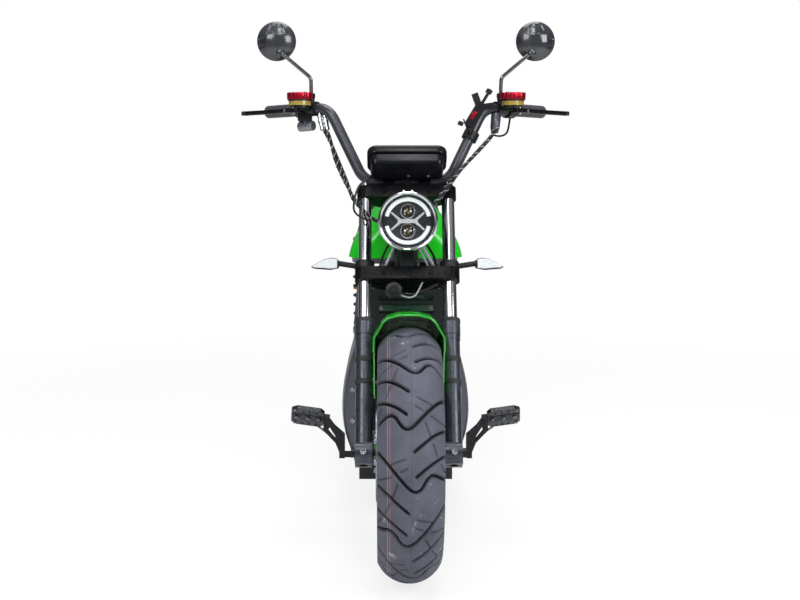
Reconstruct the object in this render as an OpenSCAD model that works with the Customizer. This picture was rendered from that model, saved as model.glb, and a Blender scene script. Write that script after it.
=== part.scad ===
// Electric chopper scooter on its centre stand.
// X is across (rider's left is +X), Y runs from the front wheel to the back, Z is up, in millimetres.

/* [Wheels] */
// Outer diameter of both tyres
tyre_d = 473; // [420:1:540]
// Width of the front tyre
front_tyre_w = 116; // [90:1:130]
// Width of the rear tyre
rear_tyre_w = 130; // [100:1:150]
// Diameter of the rim where the tyre sits
rim_d = 305; // [254:1:356]
// Distance between the axles
wheelbase = 1330; // [1200:5:1450]
// Height of the rear tyre above the ground while the stand is down
stand_lift = 10; // [4:1:30]

/* [Fork] */
// Angle of the fork from the vertical
rake = 28; // [22:0.5:36]
// Distance between the fork legs
fork_spacing = 168; // [150:1:200]
// Distance of the fork legs in front of the steering axis
fork_offset = 39; // [25:1:60]
// Diameter of the chromed fork tubes
stanchion_d = 26; // [22:0.5:35]
// Diameter of the lower fork legs
slider_d = 34; // [30:0.5:45]

/* [Handlebar] */
// Diameter of the handlebar tube
bar_d = 22.2; // [19:0.1:28]
// Half of the width at the ends of the grips
grip_reach = 297; // [260:1:360]
// Diameter of the grips
grip_d = 27; // [26:0.5:38]
// Half of the width at the tips of the brake levers
lever_reach = 355; // [320:5:400]

/* [Body] */
// Half of the width of the tank at its lower edge
tank_half_w = 122; // [100:1:140]
// Height of the tank's lower edge
tank_z = 578; // [540:1:600]
// Height of the tank's top
tank_top_z = 716; // [680:1:740]
// Half of the width of the side covers where they are widest
cover_half_w = 138; // [120:1:160]
// Height of the lower frame rails
rail_z = 128; // [110:1:160]
// Diameter of the frame tubes
frame_tube_d = 26; // [20:1:34]

/* [Hidden] */
$fn = 48;
fit = 0.2;
running = 0.05;
tyre_r = tyre_d / 2;
fender_r = tyre_r + 20;
rim_r = rim_d / 2;
rear_overhang = fender_r + 4;
overall_l = tyre_r + wheelbase + rear_overhang;
front_y = tyre_r - overall_l / 2;
rear_y = front_y + wheelbase;
rear_z = tyre_r + stand_lift;
fork_x = fork_spacing / 2;
stanchion_r = stanchion_d / 2;
slider_r = slider_d / 2;
bar_r = bar_d / 2;
grip_r = grip_d / 2;
tube_r = frame_tube_d / 2;
rail_x = fork_x;
lower_clamp_l = 345;
upper_clamp_l = 526;
clamp_h = 26;
lamp_z = 663;
lamp_r = 58;
axle_r = 7.5;

// Place at distance d behind the front axle
function aft(d) = front_y + d;
function unit(v) = v / norm(v);
function swap_x(p) = [-p[0], p[1], p[2]];
// Point of the fork's own frame: x across, f behind the fork legs, l along them from the axle
function on_fork_point(x, f, l) =
  [x, front_y + f * cos(rake) + l * sin(rake), tyre_r - f * sin(rake) + l * cos(rake)];
// Path through p whose corners are rounded with n steps each
function corner(a, b, c, bend, n) =
  let (d1 = unit(b - a), d2 = unit(c - b), turn = acos(d1 * d2), side = unit(d2 - d1 * (d1 * d2)))
  [for (k = [0 : n]) b - d1 * bend * tan(turn / 2)
    + bend * (sin(turn * k / n) * d1 + (1 - cos(turn * k / n)) * side)];
function rounded(p, bend, n) = [
  p[0], for (i = [1 : len(p) - 2]) each corner(p[i - 1], p[i], p[i + 1], bend, n), p[len(p) - 1]];
function heading(p, i) =
  i == 0 ? unit(p[1] - p[0]) : i == len(p) - 1 ? unit(p[i] - p[i - 1])
  : unit(unit(p[i] - p[i - 1]) + unit(p[i + 1] - p[i]));
// Side direction carried along a path without twist
function sides_along(p, i = 0, prev = [0.1, 1, 0.3]) =
  i == len(p) ? []
  : let (h = heading(p, i), s = unit(prev - h * (prev * h))) concat([s], sides_along(p, i + 1, s));
function ring_at(c, s, h, r, n) =
  [for (k = [0 : n - 1]) c + r * (cos(360 * k / n) * s + sin(360 * k / n) * cross(h, s))];

module fork_frame() translate([0, front_y, tyre_r]) rotate([-rake, 0, 0]) children();
module both_sides() { children(); mirror([1, 0, 0]) children(); }
module along(p, d) {
  u = unit(d);
  axis = cross([0, 0, 1], u);
  translate(p) rotate(acos(u[2]), norm(axis) > 1e-6 ? axis : [1, 0, 0]) children();
}
module rod(p, q, r) along(p, q - p) cylinder(h = norm(q - p), r = r);
module across(y, z, x0, x1, r) translate([x0, y, z]) rotate([0, 90, 0]) cylinder(h = x1 - x0, r = r);
module slab(x0, x1, outline)
  translate([x0, 0, 0]) rotate([90, 0, 90]) linear_extrude(x1 - x0) polygon(outline);
// Skin over rings of equally many points, closed by flat ends
module skin(rings) {
  n = len(rings[0]);
  last = len(rings) - 1;
  polyhedron([for (ring = rings) each ring], concat(
    [[for (j = [0 : n - 1]) j]],
    [for (i = [0 : last - 1], j = [0 : n - 1]) each [
      [i * n + j, (i + 1) * n + j, (i + 1) * n + (j + 1) % n],
      [i * n + j, (i + 1) * n + (j + 1) % n, i * n + (j + 1) % n]]],
    [[for (j = [n - 1 : -1 : 0]) last * n + j]]));
}
module swept(p, r, n) {
  s = sides_along(p);
  skin([for (i = [0 : len(p) - 1]) ring_at(p[i], s[i], heading(p, i), r, n)]);
}

/* Frame body */
head_lower = lower_clamp_l + clamp_h + 5.5;
head_upper = upper_clamp_l - 5.5;
stem_r = 12;
stand_y = aft(870);
stand_foot_y = stand_y - 14;
stand_z = 150;
spine_back = [0, aft(700), 530];
seat_rail_z = 545;
module main_frame() color("#1c1d20") difference() {
  union() {
    fork_frame() translate([0, fork_offset, head_lower]) cylinder(h = head_upper - head_lower, r = 24);
    rod(on_fork_point(0, fork_offset + 10, 420), spine_back, 18);
    rod(spine_back, [0, aft(842), seat_rail_z - 13], 18);
    translate(spine_back) sphere(r = 19);
    both_sides() {
      corners = [[4, aft(312), 572], [rail_x, aft(302), 420], [rail_x, aft(302), rail_z],
        [rail_x, aft(800), rail_z], [rail_x, aft(842), seat_rail_z], [rail_x, aft(1290), seat_rail_z]];
      for (i = [0 : len(corners) - 2]) rod(corners[i], corners[i + 1], tube_r);
      for (i = [1 : len(corners) - 2]) translate(corners[i]) sphere(r = tube_r + 1);
      slab(60, 68, [[aft(818), 190], [aft(905), 190], [aft(905), 240], [aft(826), 250]]);
    }
    for (c = [[302, 420], [302, rail_z], [800, rail_z], [842, seat_rail_z], [1240, seat_rail_z], [826, 220]])
      across(aft(c[0]), c[1], -rail_x, rail_x, 11);
    both_sides() across(shock_top[1], shock_top[2], rail_x, 128, 6);
    across(stand_y, stand_z, -50, 50, 14);
    across(stand_y, stand_z, -88, 88, 6);
    slab(-30, 30, [[aft(800), 120], [stand_y, stand_z - 12], [stand_y, stand_z + 12], [aft(806), 155]]);
  }
  fork_frame() translate([0, fork_offset, head_lower - 60]) cylinder(h = 400, r = stem_r + running);
  across(aft(890), 215, -120, 120, 8 + fit);
}

case_front = 332;
case_back = 776;
module battery_case() color("#232428")
  translate([-95, aft(case_front), rail_z + tube_r + fit])
    cube([190, case_back - case_front, 505 - rail_z - tube_r]);

// Plate in front of the lower frame rails, bent back under the front cross tube
skid_z = [108, 196];
module skid_plate() color("#1f2023") {
  translate([-99, aft(281), skid_z[0]]) cube([198, 6.8, skid_z[1] - skid_z[0]]);
  translate([-99, aft(281), skid_z[0]]) cube([198, 60, rail_z - tube_r - 1 - fit - skid_z[0]]);
}

panel_y = 276;
module front_panel() color("#2b2c30") difference() {
  translate([-77, aft(panel_y), 380]) cube([154, 12.8, 150]);
  for (z = [412, 440, 468, 496]) hull() for (x = [-52, 52])
    translate([x, aft(panel_y) - 1, z]) rotate([-90, 0, 0]) cylinder(h = 7, r = 5, $fn = 24);
}

// Half-width of a side cover's outer face at height z
function cover_x(z) = z > 254 ? cover_half_w - 26 * (1 - cos(90 * min(z - 254, 136) / 136))
  : cover_half_w - 14 * pow((254 - z) / 78, 2);
function cover_ring(d, z0, z1, slim) = concat(
  [[rail_x + tube_r + 1, aft(d), z0]],
  [for (k = [0 : 8]) let (z = z0 + (z1 - z0) * k / 8) [cover_x(z) - slim, aft(d), z]],
  [[rail_x + tube_r + 1, aft(d), z1]]);
socket = [cover_half_w - 26 + fit, aft(640), 438];
socket_r = [19, 14, 8];
module side_covers() color("#4b4e55") difference() {
  both_sides() skin([cover_ring(292, 188, 398, 12), cover_ring(310, 160, 416, 3), cover_ring(380, 150, 430, 0),
    cover_ring(560, 150, 470, 0), cover_ring(700, 156, 500, 2), cover_ring(770, 180, 505, 6),
    cover_ring(800, 230, 500, 12)]);
  across(socket[1], socket[2], rail_x, cover_half_w, socket_r[1] + fit);
}

// The tank is a skin over upright half rings, cut below by a tunnel for the frame's spine
tank_ends = [299, 658];
tunnel = [30, 42];
function swell(t) = sqrt(1 - pow(1 - min(t, 1), 2));
function fall(t, start, power) = pow(max(t - start, 0) / (1 - start), power);
function tank_w(t) = 84 + (tank_half_w - 84) * swell(t / 0.18) - 60 * fall(t, 0.3, 1.7);
function tank_h(t) = 58 + (tank_top_z - tank_z - 58) * swell(t / 0.4) - 76 * fall(t, 0.4, 1.8);
function tank_ring(t) = [for (k = [0 : 31]) let (a = 180 * k / 31)
  [tank_w(t) * sign(cos(a)) * pow(abs(cos(a)), 0.7) * (1 - 0.45 * sin(a)),
    aft(tank_ends[0] + t * (tank_ends[1] - tank_ends[0])), tank_z + tank_h(t) * pow(sin(a), 0.75)]];
module tank() color("#19b41c") difference() {
  skin([for (k = [0 : 18]) tank_ring(pow(k / 18, 1.5))]);
  translate([-tunnel[0], aft(tank_ends[0] - 10), tank_z - 1])
    cube([2 * tunnel[0], tank_ends[1] - tank_ends[0] + 20, tunnel[1] + 1]);
}
module tank_base() color("#3a3c42") difference() {
  translate([0, 0, tank_z - 14]) linear_extrude(14 - fit) polygon([[-84, aft(332)], [84, aft(332)],
    [112, aft(366)], [104, aft(480)], [62, aft(648)], [-62, aft(648)], [-104, aft(480)], [-112, aft(366)]]);
  rod(on_fork_point(0, fork_offset + 10, 420), spine_back, 18 + 4 * fit);
}

seat_floor = seat_rail_z + tube_r + 1 + fit;
seat_base_h = 12;
function seat_outline(y0, y1, w0, w1) = [[-w0, aft(y0)], [w0, aft(y0)], [w1, aft(y0 + 130)],
  [w1 - 8, aft(1000)], [w1 - 20, aft(y1)], [20 - w1, aft(y1)], [8 - w1, aft(1000)], [-w1, aft(y0 + 130)]];
module seat_base() color("#18191b") translate([0, 0, seat_floor]) linear_extrude(seat_base_h)
  polygon(seat_outline(664, 1330, 60, 116));
function seat_ring(d, w, top) = let (low = seat_floor + seat_base_h)
  [for (k = [0 : 23]) let (t = 180 * k / 23)
    [w * sign(cos(t)) * pow(abs(cos(t)), 0.45), aft(d), low + (top - low) * pow(sin(t), 0.5)]];
module seat() color("#111214") skin([seat_ring(664, 60, 625), seat_ring(690, 78, 648), seat_ring(780, 118, 652),
  seat_ring(880, 124, 648), seat_ring(950, 122, 656), seat_ring(985, 118, 688), seat_ring(1040, 114, 702),
  seat_ring(1200, 108, 704), seat_ring(1300, 98, 696), seat_ring(1336, 84, 660)]);

// Arched fender section, w half wide and t thick: crown of radius c, slanted shoulders, upright walls
function fender_half(w, depth, t, c) = [[fender_r - depth, w - t], [c - 42.8 - t / 2, w - t],
  [c - 14.8 - 0.8 * t, 0.745 * w - 0.7 * t], [c - 6.1 - t, 0.6 * w - 0.4 * t],
  [c - 0.5 - t, 0.29 * w - 0.2 * t]];
function flip(q) = [for (k = [len(q) - 1 : -1 : 0]) [q[k][0], -q[k][1]]];
function back(q) = [for (k = [len(q) - 1 : -1 : 0]) q[k]];
function fender_section(w, depth, t, c) =
  let (o = fender_half(w, depth, 0, c), i = fender_half(w, depth, t, c))
  concat(o, [[c, 0]], flip(o), back(flip(i)), [[c - t, 0]], back(i));
rear_fender_w = 75;
stay_z = rear_z + fender_r - 18.5;
module rear_fender() color("#19b41c") {
  translate([0, rear_y, rear_z]) rotate([0, 90, 0]) rotate([0, 0, 80])
    rotate_extrude(angle = 165, $fn = 96) polygon(fender_section(rear_fender_w, 60, 3, fender_r + 1));
  translate([-20, aft(1234), stay_z]) cube([40, 12, seat_rail_z - 11 - fit - stay_z]);
}
tail_angle = 62;
tail_y = rear_y + (fender_r + 1) * sin(tail_angle);
tail_z = rear_z + (fender_r + 1) * cos(tail_angle);
module tail_lamp() color("#8c1018") difference() {
  translate([-48, tail_y - 22, tail_z - 20]) cube([96, rear_overhang - (tail_y - rear_y) + 22, 46]);
  across(rear_y, rear_z, -60, 60, fender_r + 1 + fit);
}
stalk_y = rear_y + (fender_r - 48) * sin(42);
stalk_z = rear_z + (fender_r - 48) * cos(42);
module rear_indicators() color("#d98a1a") both_sides() {
  across(stalk_y, stalk_z, 75 + fit, 104, 5);
  translate([104, stalk_y, stalk_z]) rotate([0, 90, 0]) cylinder(h = 40, r1 = 15, r2 = 8);
}

swing_y = aft(890);
swing_z = 215;
module swingarm() color("#26272b") difference() {
  union() {
    across(swing_y, swing_z, -58, 58, 17);
    across(swing_y, swing_z, -102, 102, 8);
    both_sides() {
      across(swing_y, swing_z, 70, 100, 18);
      slab(78, 100, [[swing_y, swing_z - 16], [rear_y, rear_z - 20], [rear_y + 30, rear_z - 16],
        [rear_y + 30, rear_z + 16], [rear_y, rear_z + 20], [swing_y, swing_z + 16]]);
      across(aft(1250), 262, 90, 128, 6);
    }
    across(swing_y + 95, swing_z + 6, -80, 80, 14);
  }
  across(rear_y, rear_z, -120, 120, axle_r + fit);
}
module rear_axle() color("#b8bac0") {
  across(rear_y, rear_z, -112, 112, axle_r);
  both_sides() across(rear_y, rear_z, 100 + fit, 112, 13);
}
shock_top = [114, aft(1150), seat_rail_z];
shock_foot = [114, aft(1250), 262];
module shock_absorbers() color("#b0b2b8") both_sides() difference() {
  d = shock_foot - shock_top;
  union() {
    rod(shock_top, shock_foot, 7);
    rod(shock_top + d * 0.5, shock_foot - d * 0.04, 12);
    rod(shock_top + d * 0.09, shock_top + d * 0.13, 25);
    rod(shock_foot - d * 0.14, shock_foot - d * 0.10, 25);
    for (p = [shock_top, shock_foot]) across(p[1], p[2], 103, 125, 13);
  }
  for (p = [shock_top, shock_foot]) across(p[1], p[2], 95, 130, 6 + fit);
}
module shock_springs() color("#a01420") both_sides() {
  d = shock_foot - shock_top;
  a = shock_top + d * 0.14;
  b = shock_foot - d * 0.15;
  u = unit(d);
  e = [1, 0, 0];
  n = cross(u, e);
  swept([for (k = [0 : 84]) a + (b - a) * (0.02 + 0.96 * k / 84) + 19.5 * (cos(30 * k) * e + sin(30 * k) * n)],
    3.6, 6);
}

peg_y = aft(302);
plate_mid = [208, peg_y, 240];
plate_tilt = [-42, -8, 0];
// Shapes in the upright plane across the frame, t thick
module upright(t) translate([0, peg_y + t / 2, 0]) rotate([90, 0, 0]) linear_extrude(t) children();
module foot_pegs() color("#2e2f33") both_sides() difference() {
  union() {
    across(peg_y, 157, rail_x + tube_r + fit, 142, 7);
    upright(18) polygon([[130, 150], [142, 150], [142, 200], [130, 200]]);
    upright(22) polygon([[130, 164], [142, 164], [150, 184], [176, 212], [174, 238], [165, 238], [152, 220],
      [130, 200]]);
    translate(plate_mid) rotate(plate_tilt) translate([-46, -11, -5]) cube([80, 22, 10]);
  }
  upright(40) polygon([[147, 194], [152, 192], [166, 209], [162, 218]]);
}
module plate_outline() difference() {
  polygon([[-34, -24], [-26, -34], [24, -34], [36, -24], [36, 24], [24, 34], [-26, 34], [-34, 24]]);
  translate([-40, -11 - fit]) square([74 + fit, 22 + 2 * fit]);
  for (x = [-18, -4, 10], y = [-24, 24]) translate([x - 2, y - 6]) square([5, 12]);
}
module peg_plates() color("#b9bbbf") both_sides() translate(plate_mid) rotate(plate_tilt)
  translate([0, 0, -4]) linear_extrude(8) plate_outline();
module rear_caliper() color("#3b3d42") difference() {
  translate([0, rear_y, rear_z]) {
    translate([-77.8, -98, 34]) cube([24, 64, 48]);
    translate([-77.8, -92, 0]) cube([7, 52, 40]);
  }
  across(rear_y, rear_z, -67.5, -60.5, 88);
}
module charge_socket() color("#202124") translate(socket) rotate([0, 90, 0]) difference() {
  union() {
    cylinder(h = 4, r = socket_r[0]);
    translate([0, 0, -13]) cylinder(h = 14, r = socket_r[1]);
  }
  translate([0, 0, -9]) cylinder(h = 14, r = socket_r[2]);
}

/* Steering body */
module clamp_plate(h, reach) linear_extrude(h) difference() {
  union() {
    for (x = [-fork_x, fork_x]) translate([x, 0]) circle(r = reach);
    translate([0, fork_offset]) circle(r = reach + 2);
    polygon([[-fork_x, -reach], [fork_x, -reach], [fork_x, reach], [reach, fork_offset + reach],
      [-reach, fork_offset + reach], [-fork_x, reach]]);
  }
  for (x = [-fork_x, fork_x]) translate([x, 0]) circle(r = stanchion_r + fit);
}
module lower_clamp() color("#17181a") fork_frame() {
  translate([0, 0, lower_clamp_l]) clamp_plate(clamp_h, 20);
  translate([0, fork_offset, lower_clamp_l + clamp_h - 1])
    cylinder(h = upper_clamp_l - lower_clamp_l - clamp_h + 1 - fit, r = stem_r);
}
module upper_clamp() color("#17181a") fork_frame() translate([0, 0, upper_clamp_l]) clamp_plate(clamp_h, 17);
module fork_tubes() color("#d5d7da") fork_frame() for (x = [-fork_x, fork_x])
  translate([x, 0, 110]) cylinder(h = upper_clamp_l + clamp_h + 4 - 110, r = stanchion_r);
module fork_sliders() color("#5a5d66") fork_frame() for (x = [-fork_x, fork_x]) difference() {
  union() {
    translate([x, 0, -14]) cylinder(h = 270, r = slider_r);
    translate([x, 0, 232]) cylinder(h = 28, r = slider_r + 1.5);
    translate([x, 0, 222]) cylinder(h = 6, r = slider_r + 1);
    translate([x, 0, 0]) rotate([0, 90, 0]) cylinder(h = slider_d - 2, r = 21, center = true);
    translate([x - slider_r + 1, -17, -24]) cube([slider_d - 2, 34, 40]);
    translate([sign(x) * 65.6, 0, 138]) rotate([0, sign(x) * 90, 0]) cylinder(h = 8, r = 9);
  }
  translate([x, 0, 108]) cylinder(h = 200, r = stanchion_r + fit);
  translate([x, 0, -30]) cylinder(h = 18, r = 9);
  translate([x - 30, -1.5, -30]) cube([60, 3, 24]);
  translate([x, 0, 0]) rotate([0, 90, 0]) cylinder(h = 60, r = axle_r + fit, center = true);
}
module front_axle() color("#b8bac0") {
  across(front_y, tyre_r, -fork_x - 24, fork_x + 24, axle_r);
  both_sides() across(front_y, tyre_r, fork_x + slider_r + fit, fork_x + 24, 9);
}

fender_wall = [63.4, 65.4];
module front_fender() color("#19b41c") {
  translate([0, front_y, tyre_r]) rotate([0, 90, 0]) rotate([0, 0, 72])
    rotate_extrude(angle = 114, $fn = 96) polygon(fender_section(fender_wall[1], 62, 2, fender_r + 7.8));
  both_sides() slab(fender_wall[0], fender_wall[1], [[front_y - 18, tyre_r + 202], [front_y + 6, tyre_r + 108],
    [front_y + 60, tyre_r + 108], [front_y + 104, tyre_r + 182], [front_y + 43, tyre_r + 206]]);
}
module front_caliper() color("#33353a") fork_frame() difference() {
  translate([-fork_x + slider_r - 16, slider_r + fit, 48]) cube([30, 58, 62]);
  translate([-62.5, 0, 0]) rotate([0, 90, 0]) cylinder(h = 7, r = 94);
}

lamp_face_y = aft(110);
lamp_depth = 96;
module lamp_axis() translate([0, lamp_face_y, lamp_z]) rotate([-90, 0, 0]) children();
module headlamp_bowl() color("#141517") {
  lamp_axis() rotate_extrude($fn = 96) difference() {
    polygon([[0, lamp_depth], [26, lamp_depth], [44, lamp_depth - 16], [52, 50], [lamp_r - 3, 16], [0, 16]]);
    polygon([[0, 34], [44, 34], [50, 15], [0, 15]]);
  }
  fork_frame() translate([-13, -19, lower_clamp_l + clamp_h + fit]) cube([26, 16, 62]);
}
module headlamp_ring() color("#d8dade") lamp_axis() rotate_extrude($fn = 96)
  polygon([[lamp_r - 7, 0], [lamp_r - 2, 0], [lamp_r, 4], [lamp_r, 16 - fit], [lamp_r - 7, 16 - fit]]);
led_z = 19;
module headlamp_insert() color("#5c5f66") lamp_axis() {
  difference() {
    union() {
      translate([0, 0, 19]) cylinder(h = 14, r = 43);
      translate([0, 0, 18]) cylinder(h = 5, r = 46);
    }
    for (y = [-led_z, led_z]) translate([0, y, 17]) cylinder(h = 8, r = 13);
  }
  for (y = [-led_z, led_z], x = [-5, 5]) translate([x, y, 22]) cylinder(h = 6, r = 3.5);
  for (turn = [12, 192])
    translate([0, 0, 12]) rotate(turn) rotate_extrude(angle = 156) translate([38, 0]) square([7.6, 7]);
  translate([0, 0, 13]) linear_extrude(6) {
    square([36, 7], center = true);
    for (sx = [-1, 1], sy = [-1, 1])
      polygon([[sx * 13, 0], [sx * 18, sy * 3.5], [sx * 32, sy * 15], [sx * 31, sy * 17], [sx * 13, sy * 3.5]]);
  }
}
module headlamp_lens() color("#e9edf2") lamp_axis() translate([0, 0, 4]) cylinder(h = 5, r = lamp_r - 7 - fit);

stalk = [36, -6, 6];
stalk_foot = on_fork_point(fork_x + 17, 0, lower_clamp_l + clamp_h + 8);
module front_indicators() color("#1b1c1f") {
  fork_frame() for (x = [-fork_x, fork_x]) translate([x, 0, lower_clamp_l + clamp_h + 1]) difference() {
    cylinder(h = 14, r = 19);
    translate([0, 0, -1]) cylinder(h = 16, r = stanchion_r + fit);
  }
  both_sides() rod(stalk_foot, stalk_foot + stalk, 5.5);
}
module indicator_lenses() color("#e6e2d6") both_sides()
  translate(stalk_foot + stalk + [1.6, 11, 0]) rotate([90, 0, 0]) linear_extrude(22)
    polygon([[0, -8], [0, 9], [12, 11], [26, 8], [40, 1], [50, -5], [46, -7], [28, -8], [14, -9.5]]);

bar_low = on_fork_point(0, 0, upper_clamp_l + clamp_h + 15);
bar_half = [bar_low + [86, 0, 0], [161, aft(305), 890], [grip_reach, aft(421), 888]];
grip_dir = unit(bar_half[2] - bar_half[1]);
function on_bar(t) = bar_half[1] + grip_dir * t;
grip_len = norm(bar_half[2] - bar_half[1]);
bar_path = concat([for (i = [2 : -1 : 0]) swap_x(bar_half[i])], bar_half);
module handlebar() color("#3a3c42") swept(rounded(bar_path, 46, 6), bar_r, 16);
module bar_clamps() color("#131416") for (s = [-1, 1]) translate([s * 36, 0, 0]) fork_frame() difference() {
  translate([-12, -19, upper_clamp_l + clamp_h + fit]) cube([24, 38, 26]);
  translate([-20, 0, upper_clamp_l + clamp_h + 15]) rotate([0, 90, 0]) cylinder(h = 40, r = bar_r + fit);
}
grip_start = grip_len - 92;
module grips() color("#0f1011") both_sides() difference() {
  rod(on_bar(grip_start), on_bar(grip_len + 2), grip_r);
  rod(on_bar(grip_start - 1), on_bar(grip_len), bar_r + fit);
}
perch_t = 45;
perch = on_bar(perch_t);
ahead = unit(cross([0, 0, 1], grip_dir)) * -1;
cup = perch + ahead * 39 + [0, 0, 5.2];
module brake_perches() color("#1a1b1d") both_sides() difference() {
  union() {
    rod(on_bar(perch_t - 12), on_bar(perch_t + 17), bar_r + 4);
    translate(cup - [0, 0, 5.5 + fit]) cylinder(h = 5.5, r = 20);
    rod(perch + ahead * 12, perch + ahead * 46, 5);
    translate(stem_base - [0, 0, 22]) cylinder(h = 22, r = 7);
  }
  rod(on_bar(perch_t - 30), on_bar(perch_t + 30), bar_r + fit);
}
// Frame of a control: +X along the grip, -Y ahead of it
module at_perch() translate(perch) rotate([0, 0, atan2(grip_dir[1], grip_dir[0])]) children();
lever_tip = (lever_reach - 6 - perch[0] - ahead[0] * 43) / grip_dir[0];
module brake_levers() color("#101112") both_sides() at_perch() translate([0, 0, -10]) linear_extrude(9) {
  polygon([[-10, -62], [14, -62], [44, -54], [lever_tip, -48], [lever_tip, -39], [44, -44], [12, -48],
    [-10, -48]]);
  translate([lever_tip, -43.5]) circle(r = 6);
}
module reservoirs() color("#c9b03c") both_sides() translate(cup) cylinder(h = 12, r = 23);
module reservoir_caps() color("#a01a2c") both_sides() translate(cup + [0, 0, 12 + fit])
  rotate_extrude() polygon([[0, 0], [26, 0], [26.5, 1.5], [26.5, 9], [24, 12.5], [0, 14]]);
module switch_pods() color("#2a2b2f") both_sides() difference() {
  rod(on_bar(perch_t + 21), on_bar(grip_start - 1), bar_r + 7);
  rod(on_bar(perch_t), on_bar(grip_len), bar_r + fit);
}
mirror_c = [272, aft(352), 1031];
stem_base = perch + [4, 10, 22];
elbow = stem_base + [0, -9, 42];
mirror_socket = mirror_c + [-7, -12, -22];
module mirror_stems() color("#2c2d31") both_sides() {
  foot = stem_base + [0, 0, fit];
  rod(foot, foot + [0, 0, 12], 6);
  rod(foot + [0, 0, 6], elbow, 4);
  translate(elbow) sphere(r = 4.3);
  rod(elbow, mirror_socket, 4);
}
module mirror_heads() color("#3d3f45") both_sides() difference() {
  translate(mirror_c) rotate([90, 0, 0]) difference() {
    rotate_extrude($fn = 96) polygon([[0, -4], [40, -4], [41, 0], [38, 8], [28, 14], [0, 17]]);
    translate([0, 0, -5]) cylinder(h = 4, r = 37);
  }
  rod(elbow, mirror_socket + unit(mirror_socket - elbow) * fit, 4 + fit);
}
module mirror_glasses() color("#aab4bf") both_sides()
  translate(mirror_c + [0, 1.2, 0]) rotate([-90, 0, 0]) cylinder(h = 2.6, r = 36.8);

// Rectangle w wide and d deep with rounded corners
module soft_rect(w, d, r) {
  square([w - 2 * r, d], center = true);
  square([w, d - 2 * r], center = true);
  for (x = [r - w / 2, w / 2 - r], y = [r - d / 2, d / 2 - r]) translate([x, y]) circle(r = r);
}
module display() color("#121315") {
  foot_l = upper_clamp_l + clamp_h + fit;
  fork_frame() slab(-8, 8, [[-16, foot_l], [-7, foot_l], [-26, foot_l + 44], [-36, foot_l + 44]]);
  translate([0, aft(228), 776]) rotate([-36, 0, 0]) {
    linear_extrude(20) soft_rect(160, 72, 20);
    translate([0, 0, -22]) linear_extrude(23) soft_rect(148, 62, 18);
  }
}
leg_dir = unit(bar_half[1] - bar_half[0]);
holder_clamp = bar_half[0] + (bar_half[1] - bar_half[0]) * 0.62;
holder = [148, aft(252), 888];
holder_turn = 31;
holder_foot = holder + [-22, 5, -37];
// Seen from the rider: a leaning spine with two short arms, a claw at each of the four ends
module phone_holder() color("#141517") {
  translate(holder) rotate([90, -holder_turn, 180]) {
    linear_extrude(9) {
      translate([-10, -44]) square([20, 48]);
      for (turn = [-52, 52]) rotate(turn) translate([-6.5, 0]) square([13, 30]);
      translate([-3, 0]) square([6, 42]);
    }
    for (c = [[0, 38], [0, -40]]) translate([c[0] - 6, c[1] - 3.5, 3]) cube([12, 7, 24]);
    for (turn = [-52, 52]) rotate(turn) translate([-5, 24, 3]) cube([10, 6, 18]);
  }
  difference() {
    union() {
      rod(holder_clamp - leg_dir * 9, holder_clamp + leg_dir * 9, bar_r + 5);
      rod(holder_clamp, holder_foot, 6);
    }
    rod(holder_clamp - leg_dir * 20, holder_clamp + leg_dir * 20, bar_r + fit);
  }
}
left_loom = [[194, aft(322), 866], [184, aft(296), 838], [146, aft(262), 800], [105, aft(238), 757],
  [75, aft(222), 718], [50, aft(212), 686], [34, aft(199), 668]];
right_loom = [[-176, aft(316), 862], [-168, aft(304), 845], [-156, aft(291), 818], [-141, aft(272), 777],
  [-122, aft(248), 734], [-106, aft(226), 702], [-84, aft(206), 678], [-62, aft(194), 661],
  [-38, aft(190), 656]];
module cable_looms() color("#1d1e20") for (path = [left_loom, right_loom]) swept(rounded(path, 24, 3), 6, 10);

/* Wheels */
module tyre_section(w) intersection() {
  translate([tyre_r - 0.55 * w, 0]) circle(r = 0.55 * w, $fn = 96);
  polygon([[rim_r + 0.5, -0.38 * w], [rim_r + 26, -0.5 * w], [tyre_r + 1, -0.5 * w], [tyre_r + 1, 0.5 * w],
    [rim_r + 26, 0.5 * w], [rim_r + 0.5, 0.38 * w]]);
}
module wheel_frame(y, z) translate([0, y, z]) rotate([0, 90, 0]) children();
module front_tyre() color("#606368")
  wheel_frame(front_y, tyre_r) rotate_extrude($fn = 96) tyre_section(front_tyre_w);
module rear_tyre() color("#606368")
  wheel_frame(rear_y, rear_z) rotate_extrude($fn = 96) tyre_section(rear_tyre_w);
module rim_section(w, hub_r, hub_half) {
  polygon([[rim_r + 0.3, -0.37 * w], [rim_r + 0.3, 0.37 * w], [rim_r - 10, 0.37 * w], [rim_r - 14, 0.2 * w],
    [rim_r - 14, -0.2 * w], [rim_r - 10, -0.37 * w]]);
  translate([axle_r + running, -0.3 * w]) square([hub_r - axle_r, 0.6 * w]);
  translate([axle_r + running, -hub_half]) square([17, 2 * hub_half]);
}
module front_rim() color("#26272a") wheel_frame(front_y, tyre_r) {
  rotate_extrude($fn = 96) rim_section(front_tyre_w, 30, 57);
  for (k = [0 : 4]) rotate([0, 0, 72 * k]) translate([0, 0, -10]) linear_extrude(20) difference() {
    polygon([[22, -14], [rim_r - 13, -11], [rim_r - 13, 11], [22, 14]]);
    polygon([[44, -7], [rim_r - 28, -3], [rim_r - 28, 3], [44, 7]]);
  }
}
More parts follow.
